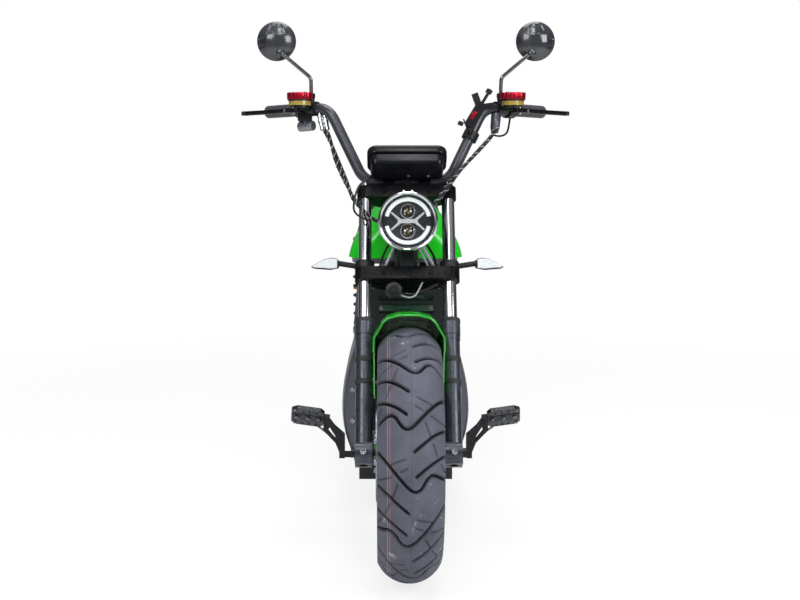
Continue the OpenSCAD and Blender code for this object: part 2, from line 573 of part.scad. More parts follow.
// Ring of cooling holes through a brake disc
module disc_holes(r) for (k = [0 : 11]) rotate(30 * k) translate([r, 0, -1]) cylinder(h = 6, r = 5, $fn = 24);
module front_disc() color("#a7a9ae") wheel_frame(front_y, tyre_r) translate([0, 0, -61]) difference() {
  cylinder(h = 4 - fit, r = 90, $fn = 96);
  translate([0, 0, -1]) cylinder(h = 6, r = axle_r + 8);
  disc_holes(74);
}
module rear_rim() color("#26272a") wheel_frame(rear_y, rear_z) {
  rotate_extrude($fn = 96) rim_section(rear_tyre_w, 100, 62);
  translate([0, 0, -14]) difference() {
    cylinder(h = 28, r = rim_r - 12);
    translate([0, 0, -1]) cylinder(h = 30, r = 98);
  }
}
module rear_disc() color("#a7a9ae") wheel_frame(rear_y, rear_z) translate([0, 0, -66]) difference() {
  cylinder(h = 4 - fit, r = 84, $fn = 96);
  translate([0, 0, -1]) cylinder(h = 6, r = axle_r + 8);
  disc_holes(68);
}

/* Centre stand */
module center_stand() color("#222326") difference() {
  union() both_sides() {
    across(stand_y, stand_z, 54, 80, 14);
    rod([68, stand_y, stand_z], [112, stand_foot_y, 14], 10);
    rod([108, stand_foot_y, 10], [126, stand_foot_y, 10], 10);
    rod([0, stand_y - 8, stand_z - 48], [84, stand_y - 8, stand_z - 48], 8);
  }
  across(stand_y, stand_z, -90, 90, 6 + running);
  translate([-150, stand_y - 60, -50]) cube([300, 120, 50]);
}

main_frame();
battery_case();
skid_plate();
front_panel();
side_covers();
tank();
tank_base();
seat_base();
seat();
rear_fender();
tail_lamp();
rear_indicators();
swingarm();
rear_axle();
shock_absorbers();
shock_springs();
foot_pegs();
peg_plates();
rear_caliper();
charge_socket();
lower_clamp();
upper_clamp();
fork_tubes();
fork_sliders();
front_axle();
front_fender();
front_caliper();
headlamp_bowl();
headlamp_ring();
headlamp_insert();
headlamp_lens();
front_indicators();
indicator_lenses();
handlebar();
bar_clamps();
grips();
brake_perches();
brake_levers();
reservoirs();
reservoir_caps();
switch_pods();
mirror_stems();
mirror_heads();
mirror_glasses();
display();
phone_holder();
cable_looms();
front_tyre();
front_rim();
front_disc();
rear_tyre();
rear_rim();
rear_disc();
center_stand();
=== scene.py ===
import bpy, bmesh, math
import numpy as np
from math import cos, pi, radians, sin, tau
from mathutils import Matrix, Vector


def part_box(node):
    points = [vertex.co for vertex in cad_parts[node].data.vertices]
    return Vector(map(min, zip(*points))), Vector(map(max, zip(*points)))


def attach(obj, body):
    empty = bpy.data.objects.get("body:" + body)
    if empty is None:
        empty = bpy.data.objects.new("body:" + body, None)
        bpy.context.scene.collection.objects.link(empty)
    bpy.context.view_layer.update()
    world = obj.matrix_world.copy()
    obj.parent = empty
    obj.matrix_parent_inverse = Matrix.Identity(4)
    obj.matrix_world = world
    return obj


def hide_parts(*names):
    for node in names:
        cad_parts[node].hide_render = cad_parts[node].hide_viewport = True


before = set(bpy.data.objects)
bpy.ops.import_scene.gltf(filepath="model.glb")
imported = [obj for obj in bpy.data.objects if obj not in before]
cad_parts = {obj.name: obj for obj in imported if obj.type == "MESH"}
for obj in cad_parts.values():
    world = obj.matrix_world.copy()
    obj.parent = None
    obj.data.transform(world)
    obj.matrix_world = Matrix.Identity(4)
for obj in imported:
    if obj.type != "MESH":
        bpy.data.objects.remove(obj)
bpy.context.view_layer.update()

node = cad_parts

# Studio: a pale floor under the scooter, which keeps a soft shadow, and an even white surround.
# The camera stands in front at chest height and looks slightly down, as the photograph was taken.
scene = bpy.context.scene
scene.view_settings.view_transform = "Standard"


def add(tree, kind, values=(), **traits):
    made = tree.nodes.new("ShaderNode" + kind)
    for trait, value in traits.items():
        setattr(made, trait, value)
    for socket, value in dict(values).items():
        made.inputs[socket].default_value = value
    return made


def join(tree, *pairs):
    for out, into in pairs:
        tree.links.new(out, into)


def studio_white(tree, lit, share):
    path = add(tree, "LightPath")
    seen = add(tree, "Math", operation="MAXIMUM")
    part = add(tree, "Math", {1: share}, operation="MULTIPLY", name="share")
    white = add(tree, "Background" if lit.type == "BACKGROUND" else "Emission",
        {"Color": (1, 1, 1, 1), "Strength": 1.0})
    mix = add(tree, "MixShader")
    join(tree, (path.outputs["Is Camera Ray"], seen.inputs[0]), (path.outputs["Is Transmission Ray"], seen.inputs[1]),
        (seen.outputs[0], part.inputs[0]), (part.outputs[0], mix.inputs[0]), (lit.outputs[0], mix.inputs[1]),
        (white.outputs[0], mix.inputs[2]))
    return mix


world = bpy.data.worlds.new("studio")
scene.world = world
world.use_nodes = True
air = world.node_tree
sky = air.nodes["Background"]
sky.inputs["Color"].default_value = (0.95, 0.97, 1.0, 1)
ways = add(air, "SeparateXYZ")
join(air, (add(air, "TexCoord").outputs["Generated"], ways.inputs["Vector"]))
dim = 0.07
glow = None
for way, dark, bright, most in (("Y", -0.5, -0.8, 0.4), ("Z", 0.3, 0.75, 0.5), ("Y", 0.5, 0.9, 0.16)):
    wall = add(air, "MapRange", {"From Min": dark, "From Max": bright, "To Min": dim, "To Max": most})
    join(air, (ways.outputs[way], wall.inputs["Value"]))
    if glow:
        both = add(air, "Math", operation="MAXIMUM")
        join(air, (glow, both.inputs[0]), (wall.outputs["Result"], both.inputs[1]))
    glow = both.outputs[0] if glow else wall.outputs["Result"]
surround = studio_white(air, sky, 1.0)
join(air, (glow, sky.inputs["Strength"]), (surround.outputs[0], air.nodes["World Output"].inputs["Surface"]))

ground = bmesh.new()
bmesh.ops.create_circle(ground, cap_ends=True, radius=30, segments=64)
floor = bpy.data.objects.new("studio_floor", bpy.data.meshes.new("studio_floor"))
ground.to_mesh(floor.data)
ground.free()
scene.collection.objects.link(floor)
floor_paint = bpy.data.materials.new("floor_paint")
floor_paint.use_nodes = True
paint = floor_paint.node_tree
matt = add(paint, "BsdfDiffuse", {"Color": (0.95, 0.95, 0.95, 1)})
pale = studio_white(paint, matt, 0.8)
reach = add(paint, "VectorMath", operation="LENGTH")
fade = add(paint, "MapRange", {"From Min": 0.9, "From Max": 2.6, "To Min": 0.8, "To Max": 1.0})
join(paint, (add(paint, "TexCoord").outputs["Object"], reach.inputs[0]), (reach.outputs["Value"], fade.inputs["Value"]),
    (fade.outputs["Result"], paint.nodes["share"].inputs[1]),
    (pale.outputs[0], paint.nodes["Material Output"].inputs["Surface"]))
floor.data.materials.append(floor_paint)

for name, spot, aim, wide, tall, power in (
        ("key_box", (-1.5, -2.6, 2.3), (0, -0.4, 0.6), 1.3, 1.3, 46),
        ("fill_box", (1.9, -2.2, 1.7), (0, -0.4, 0.6), 1.3, 1.3, 50),
        ("strip_box", (0.1, -2.15, 3.1), (0, -0.45, 0.55), 0.5, 1.6, 26),
        ("top_box", (0, 0.1, 2.9), (0, 0, 0.5), 1.6, 1.6, 40)):
    light = bpy.data.lights.new(name, "AREA")
    light.shape = "RECTANGLE"
    light.size, light.size_y, light.energy = wide, tall, power
    box_light = bpy.data.objects.new(name, light)
    box_light.location = spot
    box_light.rotation_euler = (Vector(aim) - Vector(spot)).to_track_quat("-Z", "Y").to_euler()
    scene.collection.objects.link(box_light)

look_down = 6.4
camera = bpy.data.objects.new("camera", bpy.data.cameras.new("camera"))
camera.data.sensor_width = 36
camera.data.lens = 49.8
camera.data.shift_x = 0.0193
camera.location = (-0.045, -2.697, 0.75)
camera.rotation_euler = (radians(90 - look_down), 0, 0)
scene.collection.objects.link(camera)
scene.camera = camera

# Main frame, swingarm and centre stand: welded steel tubes in satin black powder coat, with the
# slight orange-peel texture and paler rubbed spots that such a coat has.


def srgb(r, g, b):
    return tuple((v / 255 / 12.92) if v <= 10 else ((v / 255 + 0.055) / 1.055) ** 2.4 for v in (r, g, b)) + (1,)


def finish(name, colour, second, rough, metallic=0.0, grain=60.0, fine=400.0, bump=0.05, coat=0.0, spread=0.12,
        level=0.5, extra=()):
    m = bpy.data.materials.new(name)
    m.use_nodes = True
    tree = m.node_tree
    body = tree.nodes["Principled BSDF"]
    for socket, value in dict(extra, **{"Metallic": metallic, "Coat Weight": coat, "Specular IOR Level": level,
            "Coat Roughness": 0.06}).items():
        body.inputs[socket].default_value = value
    place = add(tree, "TexCoord").outputs["Object"]
    blotch = add(tree, "TexNoise", {"Scale": grain, "Detail": 5.0})
    speck = add(tree, "TexNoise", {"Scale": fine, "Detail": 2.0})
    tint = add(tree, "Mix", data_type="RGBA", name="tint", values={"A": srgb(*colour), "B": srgb(*second)})
    gloss = add(tree, "MapRange", {"From Min": 0.3, "From Max": 0.7, "To Min": max(rough - spread, 0.02),
        "To Max": rough + spread})
    peel = add(tree, "Bump", {"Strength": bump, "Distance": 0.001}, name="peel")
    join(tree, (place, blotch.inputs["Vector"]), (place, speck.inputs["Vector"]),
        (blotch.outputs["Fac"], tint.inputs["Factor"]), (tint.outputs["Result"], body.inputs["Base Color"]),
        (blotch.outputs["Fac"], gloss.inputs["Value"]), (gloss.outputs["Result"], body.inputs["Roughness"]),
        (speck.outputs["Fac"], peel.inputs["Height"]), (peel.outputs["Normal"], body.inputs["Normal"]))
    return m


def dress(material, *names):
    for name in names:
        for s in node[name].material_slots:
            s.material = material


frame_coat = finish("frame_coat", (24, 25, 28), (34, 35, 39), 0.4, grain=25, fine=900, level=0.3)
dress(frame_coat, "main_frame", "swingarm", "center_stand", "skid_plate")

# Battery case, front panel and seat pan: moulded black plastic with a fine spark-eroded grain. The panel's slight
# green tint is a painted reflection of the green fender. Two ribs cross the panel, painted dark green as a
# reflection of the fender, and six screws with round heads hold it to the down tubes.
front_y, front_z = -0.677, 0.2365
rear_y, rear_z = 0.653, 0.2465


def aft(d):
    return front_y + d / 1000


def at(point, axis=(0, 0, 1)):
    return Matrix.Translation(point) @ Vector((0, 0, 1)).rotation_difference(Vector(axis)).to_matrix().to_4x4()


def turned(bm, profile, steps, place):
    old = set(bm.verts)
    ring = [bm.verts.new((r, 0, h)) for r, h in profile]
    edges = [bm.edges.new(pair) for pair in zip(ring, ring[1:])]
    bmesh.ops.spin(bm, geom=ring + edges, cent=(0, 0, 0), axis=(0, 0, 1), angle=tau, steps=steps, use_merge=True)
    bmesh.ops.transform(bm, matrix=place, verts=[v for v in bm.verts if v not in old])


def screw(bm, place, r):
    h = 0.7 * r
    turned(bm, [(0, 0.35 * h), (0.5 * r, 0.35 * h), (0.55 * r, h), (0.85 * r, h), (r, 0.75 * h), (r, -0.001)], 14,
        place)


def settle(name, bm, body, slot, *materials, crease=35, stands_for=()):
    bmesh.ops.remove_doubles(bm, verts=bm.verts, dist=1e-6)
    bmesh.ops.recalc_face_normals(bm, faces=bm.faces)
    mesh = bpy.data.meshes.new(name)
    bm.to_mesh(mesh)
    bm.free()
    for m in materials:
        mesh.materials.append(m)
    mesh.shade_smooth()
    mesh.set_sharp_from_angle(angle=radians(crease))
    thing = bpy.data.objects.new(name, mesh)
    scene.collection.objects.link(thing)
    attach(thing, body)
    if stands_for:
        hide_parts(*stands_for)
    return thing


def plate(a, b, x=0, y=0):
    return [(x - a, y - b), (x + a, y - b), (x + a, y + b), (x - a, y + b)]


def block(bm, outline, height, place, soften=0.0008, rounds=2):
    old = set(bm.verts)
    face = bm.faces.new([bm.verts.new((x, y, 0)) for x, y in outline])
    raised = bmesh.ops.extrude_face_region(bm, geom=[face])["geom"]
    bmesh.ops.translate(bm, vec=(0, 0, height), verts=[g for g in raised if isinstance(g, bmesh.types.BMVert)])
    edges = {e for v in bm.verts if v not in old for e in v.link_edges}
    bmesh.ops.bevel(bm, geom=list(edges), offset=soften, offset_type="OFFSET", segments=rounds, profile=0.5,
        affect="EDGES", material=-1, clamp_overlap=True)
    bmesh.ops.transform(bm, matrix=place, verts=[v for v in bm.verts if v not in old])


black_moulding = finish("black_moulding", (17, 18, 20), (24, 25, 28), 0.4, grain=30, fine=1800, bump=0.15, level=0.25)
zinc_screw = finish("zinc_screw", (150, 152, 158), (120, 122, 128), 0.3, metallic=1.0, grain=300, fine=900)
# Painted reflection: the ribs' dark green stands for the green fender mirrored in the glossy panel.
rib_painted_fender_reflection = finish("rib_painted_fender_reflection", (26, 64, 50), (22, 52, 42), 0.3, grain=30, fine=1800, bump=0.05, level=0.4)
dress(black_moulding, "battery_case", "seat_base", "charge_socket")
# Painted reflection: the slight green tint of the front panel stands for the green fender mirrored in it.
dress(finish("panel_plastic_painted_green_reflection", (30, 36, 36), (24, 30, 30), 0.4, grain=30, fine=1800, bump=0.1, level=0.3), "front_panel")
panel_screws = bmesh.new()
for x in (-0.068, 0.068):
    for z in (0.39, 0.52):
        screw(panel_screws, at((x, aft(276), z), (0, -1, 0)), 0.004)
ribs_across = bmesh.new()
for half, low, high in ((0.0565, 0.4695, 0.482), (0.036, 0.497, 0.504)):
    block(ribs_across, plate(half, (high - low) / 2, 0, (low + high) / 2), 0.006, at((0, aft(277.5), 0), (0, -1, 0)),
        soften=0.0016)
settle("panel_ribs", ribs_across, "frame", "black_plastic", rib_painted_fender_reflection)
for x in (-0.0525, 0.0525):
    screw(panel_screws, at((x, aft(271.5), 0.4757), (0, -1, 0)), 0.0045)
settle("panel_screws", panel_screws, "frame", "steel", zinc_screw)

# Side covers: two bowed grey plastic mouldings over the battery, each on a pair of bolts at its front
# edge, with a soft satin gloss and a fine moulded grain.
cover_plastic = finish("cover_plastic", (56, 59, 67), (66, 69, 77), 0.36, grain=18, fine=1400, bump=0.06, spread=0.04)


def cover_face(z):
    if z > 0.254:
        return 0.138 - 0.026 * (1 - cos(pi / 2 * min(z - 0.254, 0.136) / 0.136))
    return 0.138 - 0.014 * ((0.254 - z) / 0.078) ** 2


def bridged(bm, rings, closed):
    loops = []
    for ring in rings:
        v = [bm.verts.new(p) for p in ring]
        ends = zip(v, v[1:] + v[:1]) if closed else zip(v, v[1:])
        loops.append([bm.edges.new(pair) for pair in ends])
    for a, b in zip(loops, loops[1:]):
        bmesh.ops.bridge_loops(bm, edges=a + b)
    return loops


covers = bmesh.new()
for side in (-1, 1):
    rings = []
    for d, low, high, slim in ((292, 0.188, 0.398, 0.012), (297, 0.172, 0.408, 0.006), (310, 0.16, 0.416, 0.003),
            (345, 0.154, 0.424, 0.001), (380, 0.15, 0.43, 0), (470, 0.15, 0.45, 0), (560, 0.15, 0.47, 0),
            (630, 0.152, 0.485, 0.001), (700, 0.156, 0.5, 0.002), (770, 0.18, 0.505, 0.006), (800, 0.23, 0.5, 0.012)):
        zs = [low + (high - low) * k / 20 for k in range(21)]
        rings.append([(side * 0.098, aft(d), low)] + [(side * (cover_face(z) - slim), aft(d), z) for z in zs]
            + [(side * 0.098, aft(d), high)])
    loops = bridged(covers, rings, True)
    bmesh.ops.edgeloop_fill(covers, edges=loops[0])
    bmesh.ops.edgeloop_fill(covers, edges=loops[-1])
for y, z in ((0.013, 0), (-0.013, 0), (0, 0.013), (0, -0.013)):
    outer = [f for f in covers.faces if f.calc_center_median().x > 0.105]
    edges, verts = {e for f in outer for e in f.edges}, {v for f in outer for v in f.verts}
    bmesh.ops.bisect_plane(covers, geom=outer + list(edges) + list(verts),
        plane_co=(0, aft(640) + y, 0.438 + z), plane_no=(0, y, z))
bmesh.ops.delete(covers, context="FACES", geom=[
    f for f in covers.faces if f.calc_center_median().x > 0.105 and abs(f.calc_center_median().y - aft(640)) < 0.013
    and abs(f.calc_center_median().z - 0.438) < 0.013])
settle("side_shells", covers, "frame", "body_grey", cover_plastic, crease=50, stands_for=("side_covers",))
cover_bolts = bmesh.new()
for x in (-0.113, 0.113):
    for z in (0.232, 0.299):
        screw(cover_bolts, at((x, aft(292), z), (0, -1, 0)), 0.006)
settle("cover_bolts", cover_bolts, "frame", "steel", zinc_screw)

# Tank: a pressed shell in green lacquer over a grey plastic underside, to which it is clipped along its
# lower edge. It is full at the shoulders and narrows towards the seat.
green_paint = finish("green_paint", (12, 186, 16), (10, 172, 14), 0.2, grain=6, fine=250, bump=0.01, coat=1.0,
    spread=0.04)
dress(finish("base_grey", (118, 120, 128), (98, 100, 108), 0.45, grain=30, fine=1400, bump=0.1), "tank_base")


def tank_ring(t):
    swell = lambda u: math.sqrt(1 - (1 - min(u, 1)) ** 2)
    fall = lambda s, p: (max(t - s, 0) / (1 - s)) ** p
    w = 0.084 + 0.038 * swell(t / 0.18) - 0.06 * fall(0.3, 1.7)
    h = 0.058 + 0.08 * swell(t / 0.4) - 0.076 * fall(0.4, 1.8)
    ring = []
    for k in range(65):
        a = pi * k / 64
        c, s = cos(a), max(sin(a), 0)
        ring.append((w * math.copysign(abs(c) ** 0.7, c) * (1 - 0.45 * s), aft(299 + 359 * t), 0.578 + h * s ** 0.75))
    return ring


shell = bmesh.new()
tank_loops = bridged(shell, [tank_ring((k / 44) ** 1.5) for k in range(45)], False)
for loop in (tank_loops[0], tank_loops[-1]):
    bmesh.ops.contextual_create(shell, geom=loop)
tank_lacquer = finish("tank_lacquer", (12, 190, 16), (10, 178, 14), 0.3, grain=6, fine=250, bump=0.01, coat=0.35,
    spread=0.04, level=0.3)
settle("tank_shell", shell, "frame", "green", tank_lacquer, crease=60, stands_for=("tank",))

# Seat: one moulded foam saddle with a raised back half under sewn black leathercloth. The cover swells
# between its edges under pressure from the foam, and a piped seam runs round above the pan.
leathercloth = finish("leathercloth", (24, 24, 26), (33, 33, 36), 0.5, grain=45, fine=1500, bump=0.35)


def tube(name, points, radius, body, slot, material, sides=12, round_path=False, closed=False):
    line = bpy.data.curves.new(name, "CURVE")
    line.dimensions = "3D"
    line.bevel_depth = radius
    line.bevel_resolution = sides // 4
    line.use_fill_caps = True
    line.resolution_u = 10
    spline = line.splines.new("BEZIER" if round_path else "POLY")
    knots = spline.bezier_points if round_path else spline.points
    knots.add(len(points) - 1)
    for knot, p in zip(knots, points):
        if round_path:
            knot.co = p
            knot.handle_left_type = knot.handle_right_type = "AUTO"
        else:
            knot.co = (*p, 1)
    spline.use_cyclic_u = closed
    bent = bpy.data.objects.new(name + "_line", line)
    scene.collection.objects.link(bent)
    mesh = bpy.data.meshes.new_from_object(bent.evaluated_get(bpy.context.evaluated_depsgraph_get()))
    bpy.data.objects.remove(bent)
    bpy.data.curves.remove(line)
    mesh.materials.clear()
    bm = bmesh.new()
    bm.from_mesh(mesh)
    bpy.data.meshes.remove(mesh)
    return settle(name, bm, body, slot, material, crease=40)


pad_mesh = node["seat"].data.copy()
pad = bpy.data.objects.new("seat_pad", pad_mesh)
scene.collection.objects.link(pad)
merged = bmesh.new()
merged.from_mesh(pad_mesh)
bmesh.ops.remove_doubles(merged, verts=merged.verts, dist=1e-5)
merged.to_mesh(pad_mesh)
merged.free()
pad_mesh.materials.clear()
pad_mesh.materials.append(leathercloth)
remesh = pad.modifiers.new("foam_skin", "REMESH")
remesh.mode = "VOXEL"
remesh.voxel_size = 0.006
foam = bpy.data.meshes.new_from_object(pad.evaluated_get(bpy.context.evaluated_depsgraph_get()))
pad.modifiers.clear()
pad.data = foam
start = [v.co.copy() for v in foam.vertices]
floor_z = min(p.z for p in start)
held = pad.vertex_groups.new(name="held")
held.add([i for i, p in enumerate(start) if p.z < floor_z + 0.016], 1.0, "ADD")
cloth = pad.modifiers.new("cover", "CLOTH")
cloth.settings.use_pressure = True
cloth.settings.uniform_pressure_force = 4.0
cloth.settings.effector_weights.gravity = 0
cloth.settings.vertex_group_mass = "held"
for f in range(1, 21):
    scene.frame_set(f)
swollen = pad.evaluated_get(bpy.context.evaluated_depsgraph_get()).data
moved = [v.co.copy() for v in swollen.vertices]
pad.modifiers.clear()
for v, a, b in zip(foam.vertices, start, moved):
    step = b - a
    if step.length > 0.006:
        step *= 0.006 / step.length
    v.co = a + step
scene.frame_set(1)
foam.shade_smooth()
soft = pad.modifiers.new("soft", "SUBSURF")
soft.levels = soft.render_levels = 1
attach(pad, "frame")
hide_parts("seat")
seam_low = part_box("seat")[0]
seam = [(w * s, aft(d), seam_low[2] + 0.017) for s, run in ((1, 1), (-1, -1)) for d, w in (
    (668, 0.062), (690, 0.0775), (780, 0.1175), (880, 0.1235), (985, 0.1175), (1040, 0.1135), (1200, 0.1075),
    (1300, 0.0975), (1331, 0.084))[::run]]
tube("seat_piping", seam, 0.0028, "frame", "seat_black", leathercloth, round_path=True, closed=True)

# Rear fender with its tail lamp and turn lamps: a pressed green fender bolted under the seat rails, a red
# lamp moulded with fine upright prisms, and amber cones on short stalks.


def prisms(material, count):
    tree = material.node_tree
    ribs = add(tree, "TexWave", {"Scale": count})
    peel = tree.nodes["peel"]
    peel.inputs["Strength"].default_value = 0.5
    join(tree, (add(tree, "TexCoord").outputs["Object"], ribs.inputs["Vector"]),
        (ribs.outputs["Fac"], peel.inputs["Height"]))
    return material


dress(green_paint, "rear_fender")
dress(prisms(finish("red_lens", (150, 12, 20), (120, 8, 14), 0.12, fine=300, coat=0.5), 60), "tail_lamp")
dress(prisms(finish("amber_lens", (220, 130, 24), (190, 105, 16), 0.12, fine=300, coat=0.5), 80), "rear_indicators")

# Shock absorbers: a pair of steel dampers between the seat rails and the swingarm, each in a coil spring
# of black-lacquered wire, wound from one round bar.
plain_steel = finish("plain_steel", (165, 167, 173), (138, 140, 146), 0.3, metallic=1.0, grain=80, fine=700)
dress(plain_steel, "shock_absorbers", "rear_axle")
for side, name in ((1, "left_spring"), (-1, "right_spring")):
    top, foot = Vector((0.114 * side, aft(1150), 0.545)), Vector((0.114 * side, aft(1250), 0.262))
    axis = (foot - top).normalized()
    out = Vector((1, 0, 0))
    ahead = axis.cross(out)
    coil = []
    for k in range(169):
        turn = 15 * k * pi / 180
        coil.append(top + (foot - top) * (0.155 + 0.69 * k / 168) + 0.0195 * (cos(turn) * out + sin(turn) * ahead))
    wire = tube(name, coil, 0.0036, "frame", "frame_black", frame_coat)
    if side == 1:
        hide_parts("shock_springs")

# Foot pegs: cast black arms on the lower rails with folding platform pegs. Each platform is a pair of
# slotted alloy plates beside a black bar that three screws hold, with a thin stay below.
cast_black = finish("cast_black", (20, 21, 24), (30, 31, 35), 0.34, metallic=0.2, grain=70, fine=1300, bump=0.12,
    level=0.25)
dress(cast_black, "foot_pegs")
dress(finish("tumbled_alloy", (74, 75, 79), (40, 41, 44), 0.3, metallic=0.8, grain=140, fine=800, bump=0.25),
    "peg_plates")
peg_screws = bmesh.new()
for side in (-1, 1):
    platform = Matrix.Translation((0.208 * side, aft(302), 0.24)) @ Matrix.Scale(side, 4, (1, 0, 0)) \
        @ Matrix.Rotation(radians(-8), 4, "Y") @ Matrix.Rotation(radians(-42), 4, "X")
    for x in (-0.024, 0.0, 0.024):
        for face in (-1, 1):
            screw(peg_screws, platform @ at((x, 0, 0.005 * face), (0, 0, face)), 0.0045)
    for y in (-0.026, 0.026):
        screw(peg_screws, platform @ at((0.028, y, -0.004), (0, 0, -1)), 0.0035)
    tube("left_stay" if side > 0 else "right_stay",
        [(0.19 * side, aft(300), 0.22), (0.172 * side, aft(306), 0.205), (0.144 * side, aft(309), 0.178)],
        0.0024, "frame", "steel", plain_steel, sides=8, round_path=True)
settle("peg_screws", peg_screws, "frame", "steel", zinc_screw)

# Tyres: 12-inch scooter tyres of black rubber. Long swept grooves, wide cross cuts and fine sipes are
# pressed into the tread and mirror from one half to the other, with thin colour lines from the mill and
# a little dust. The groove floors are painted near black by their depth, as painted shade in the recesses.
tread_rubber = finish("tread_rubber", (52, 54, 63), (96, 98, 109), 0.6, grain=22, fine=1100, bump=0.3, level=0.12)


def mill_lines_dust_and_groove_shade(material, places):
    tree = material.node_tree

    def over(under, share, shade):
        layer = add(tree, "Mix", data_type="RGBA", values={"B": shade})
        join(tree, (share, layer.inputs["Factor"]), (under, layer.inputs["A"]))
        return layer.outputs["Result"]

    spot = add(tree, "TexCoord").outputs["Object"]
    split = add(tree, "SeparateXYZ")
    join(tree, (spot, split.inputs["Vector"]))
    colour = tree.nodes["tint"].outputs["Result"]
    line_half, strength = 0.0007, 0.32
    for x, shade in places:
        near = add(tree, "Math", {1: x, 2: line_half}, operation="COMPARE")
        faint = add(tree, "Math", {1: strength}, operation="MULTIPLY")
        join(tree, (split.outputs["X"], near.inputs[0]), (near.outputs[0], faint.inputs[0]))
        colour = over(colour, faint.outputs[0], shade)
    dust = add(tree, "TexNoise", {"Scale": 26.0, "Detail": 9.0, "Roughness": 0.72})
    sparse = add(tree, "MapRange", {"From Min": 0.61, "From Max": 0.69, "To Min": 0.0, "To Max": 0.75})
    join(tree, (spot, dust.inputs["Vector"]), (dust.outputs["Fac"], sparse.inputs["Value"]))
    colour = over(colour, sparse.outputs["Result"], srgb(168, 170, 178))
    # Painted shade: near-black colour is mixed in by how deep each point of the tread is sunk, darkening the grooves.
    depth = add(tree, "Attribute", attribute_name="groove_painted_shade")
    colour = over(colour, depth.outputs["Fac"], srgb(7, 7, 9))
    join(tree, (colour, tree.nodes["Principled BSDF"].inputs["Base Color"]))


mill_lines_dust_and_groove_shade(tread_rubber, ((-0.04, srgb(190, 150, 120)), (-0.036, srgb(200, 110, 110))))
tread_cuts = (
    (5.2, 5.0, ((-58, 14), (-50, 20), (-42, 26), (-34, 27), (-27, 21), (-20, 9), (-14, 2), (-7, 0), (0, 2), (8, 9),
    (20, 22), (34, 38), (48, 55), (58, 68))), (5.0, 5.0, ((58, 3), (40, -9), (22, -24), (5, -38))),
    (5.0, 5.0, ((58, -46), (40, -57), (24, -68), (9, -80))),
    (2.4, 2.5, ((24, 12), (32, -10))), (2.4, 2.5, ((37, -24), (44, -46))), (2.4, 2.5, ((51, -62), (57, -78))),
    (2.4, 2.5, ((-40, -62), (-10, -50))), (2.4, 2.5, ((7, 40), (19, 34))), (2.4, 2.5, ((34, 25), (57, 14))))
tyre_r, tread_repeats = 0.2365, 7


def moulded_tyre(name, y, z, w, body, stands_for):
    crown, bead = 0.55 * w, 0.153
    heart = tyre_r - crown
    edge = math.asin(0.5 / 0.55)
    half = [(heart + crown * cos(edge * k / 40), crown * sin(edge * k / 40)) for k in range(41)]
    half += [(0.192, 0.5 * w), (0.184, 0.5 * w), (0.1775, 0.496 * w), (0.17, 0.472 * w), (0.162, 0.43 * w),
        (0.156, 0.395 * w), (bead, 0.375 * w)]
    outline = [(r, -x) for r, x in half[:0:-1]] + half
    bm = bmesh.new()
    ring = [bm.verts.new((x, -r, 0)) for r, x in outline]
    hoop = [bm.edges.new(pair) for pair in zip(ring, ring[1:] + ring[:1])]
    bmesh.ops.spin(bm, geom=ring + hoop, cent=(0, 0, 0), axis=(1, 0, 0), angle=tau / tread_repeats, steps=92)
    # Per-vertex groove depth, kept only to paint shade into the grooves.
    groove_shade_layer = bm.verts.layers.float.new("groove_painted_shade")
    p = np.array([v.co for v in bm.verts])
    r = np.hypot(p[:, 1], p[:, 2])
    lean = np.arctan2(p[:, 0], r - heart)
    tread = (np.abs(lean) < edge + 1e-4) & (np.hypot(p[:, 0], r - heart) > crown - 1e-4)
    across = p[:, 0] * 1000 * 58 / (500 * w)
    along = np.arctan2(p[:, 2], -p[:, 1]) * tyre_r * 1000
    pitch = tau * tyre_r * 1000 / tread_repeats
    sunk = np.where(np.abs(lean) < 1e-4, 0.7, 0.0)
    for flip, phase in ((1, 98), (-1, 98 + pitch / 2)):
        u = across * flip
        v = (along - phase + pitch / 2) % pitch - pitch / 2
        for width, depth, route in tread_cuts:
            for (ax, ay), (bx, by) in zip(route, route[1:]):
                dx, dy = bx - ax, by - ay
                t = np.clip(((u - ax) * dx + (v - ay) * dy) / (dx * dx + dy * dy), 0, 1)
                gap = np.hypot(u - ax - t * dx, v - ay - t * dy)
                sunk = np.maximum(sunk, depth * np.clip((width / 2 + 0.7 - gap) / 1.4, 0, 1))
    sunk = np.where(tread, sunk / 1000, 0)
    for vert, s, a, rr in zip(bm.verts, sunk, lean, r):
        if s:
            vert[groove_shade_layer] = s / 0.005
            new = heart + (crown - s) * cos(a)
            vert.co = ((crown - s) * sin(a), vert.co.y * new / rr, vert.co.z * new / rr)
    pattern = bm.verts[:] + bm.edges[:] + bm.faces[:]
    for k in range(1, tread_repeats):
        copy = bmesh.ops.duplicate(bm, geom=pattern)["geom"]
        bmesh.ops.rotate(bm, cent=(0, 0, 0), matrix=Matrix.Rotation(tau * k / tread_repeats, 3, "X"),
            verts=[g for g in copy if isinstance(g, bmesh.types.BMVert)])
    bmesh.ops.translate(bm, verts=bm.verts, vec=(0, y, z))
    return settle(name, bm, body, "tyre", tread_rubber, crease=60, stands_for=stands_for)


moulded_tyre("front_tread", front_y, front_z, 0.116, "front_wheel", ("front_tyre",))
moulded_tyre("rear_tread", rear_y, rear_z, 0.13, "rear_wheel", ("rear_tyre",))

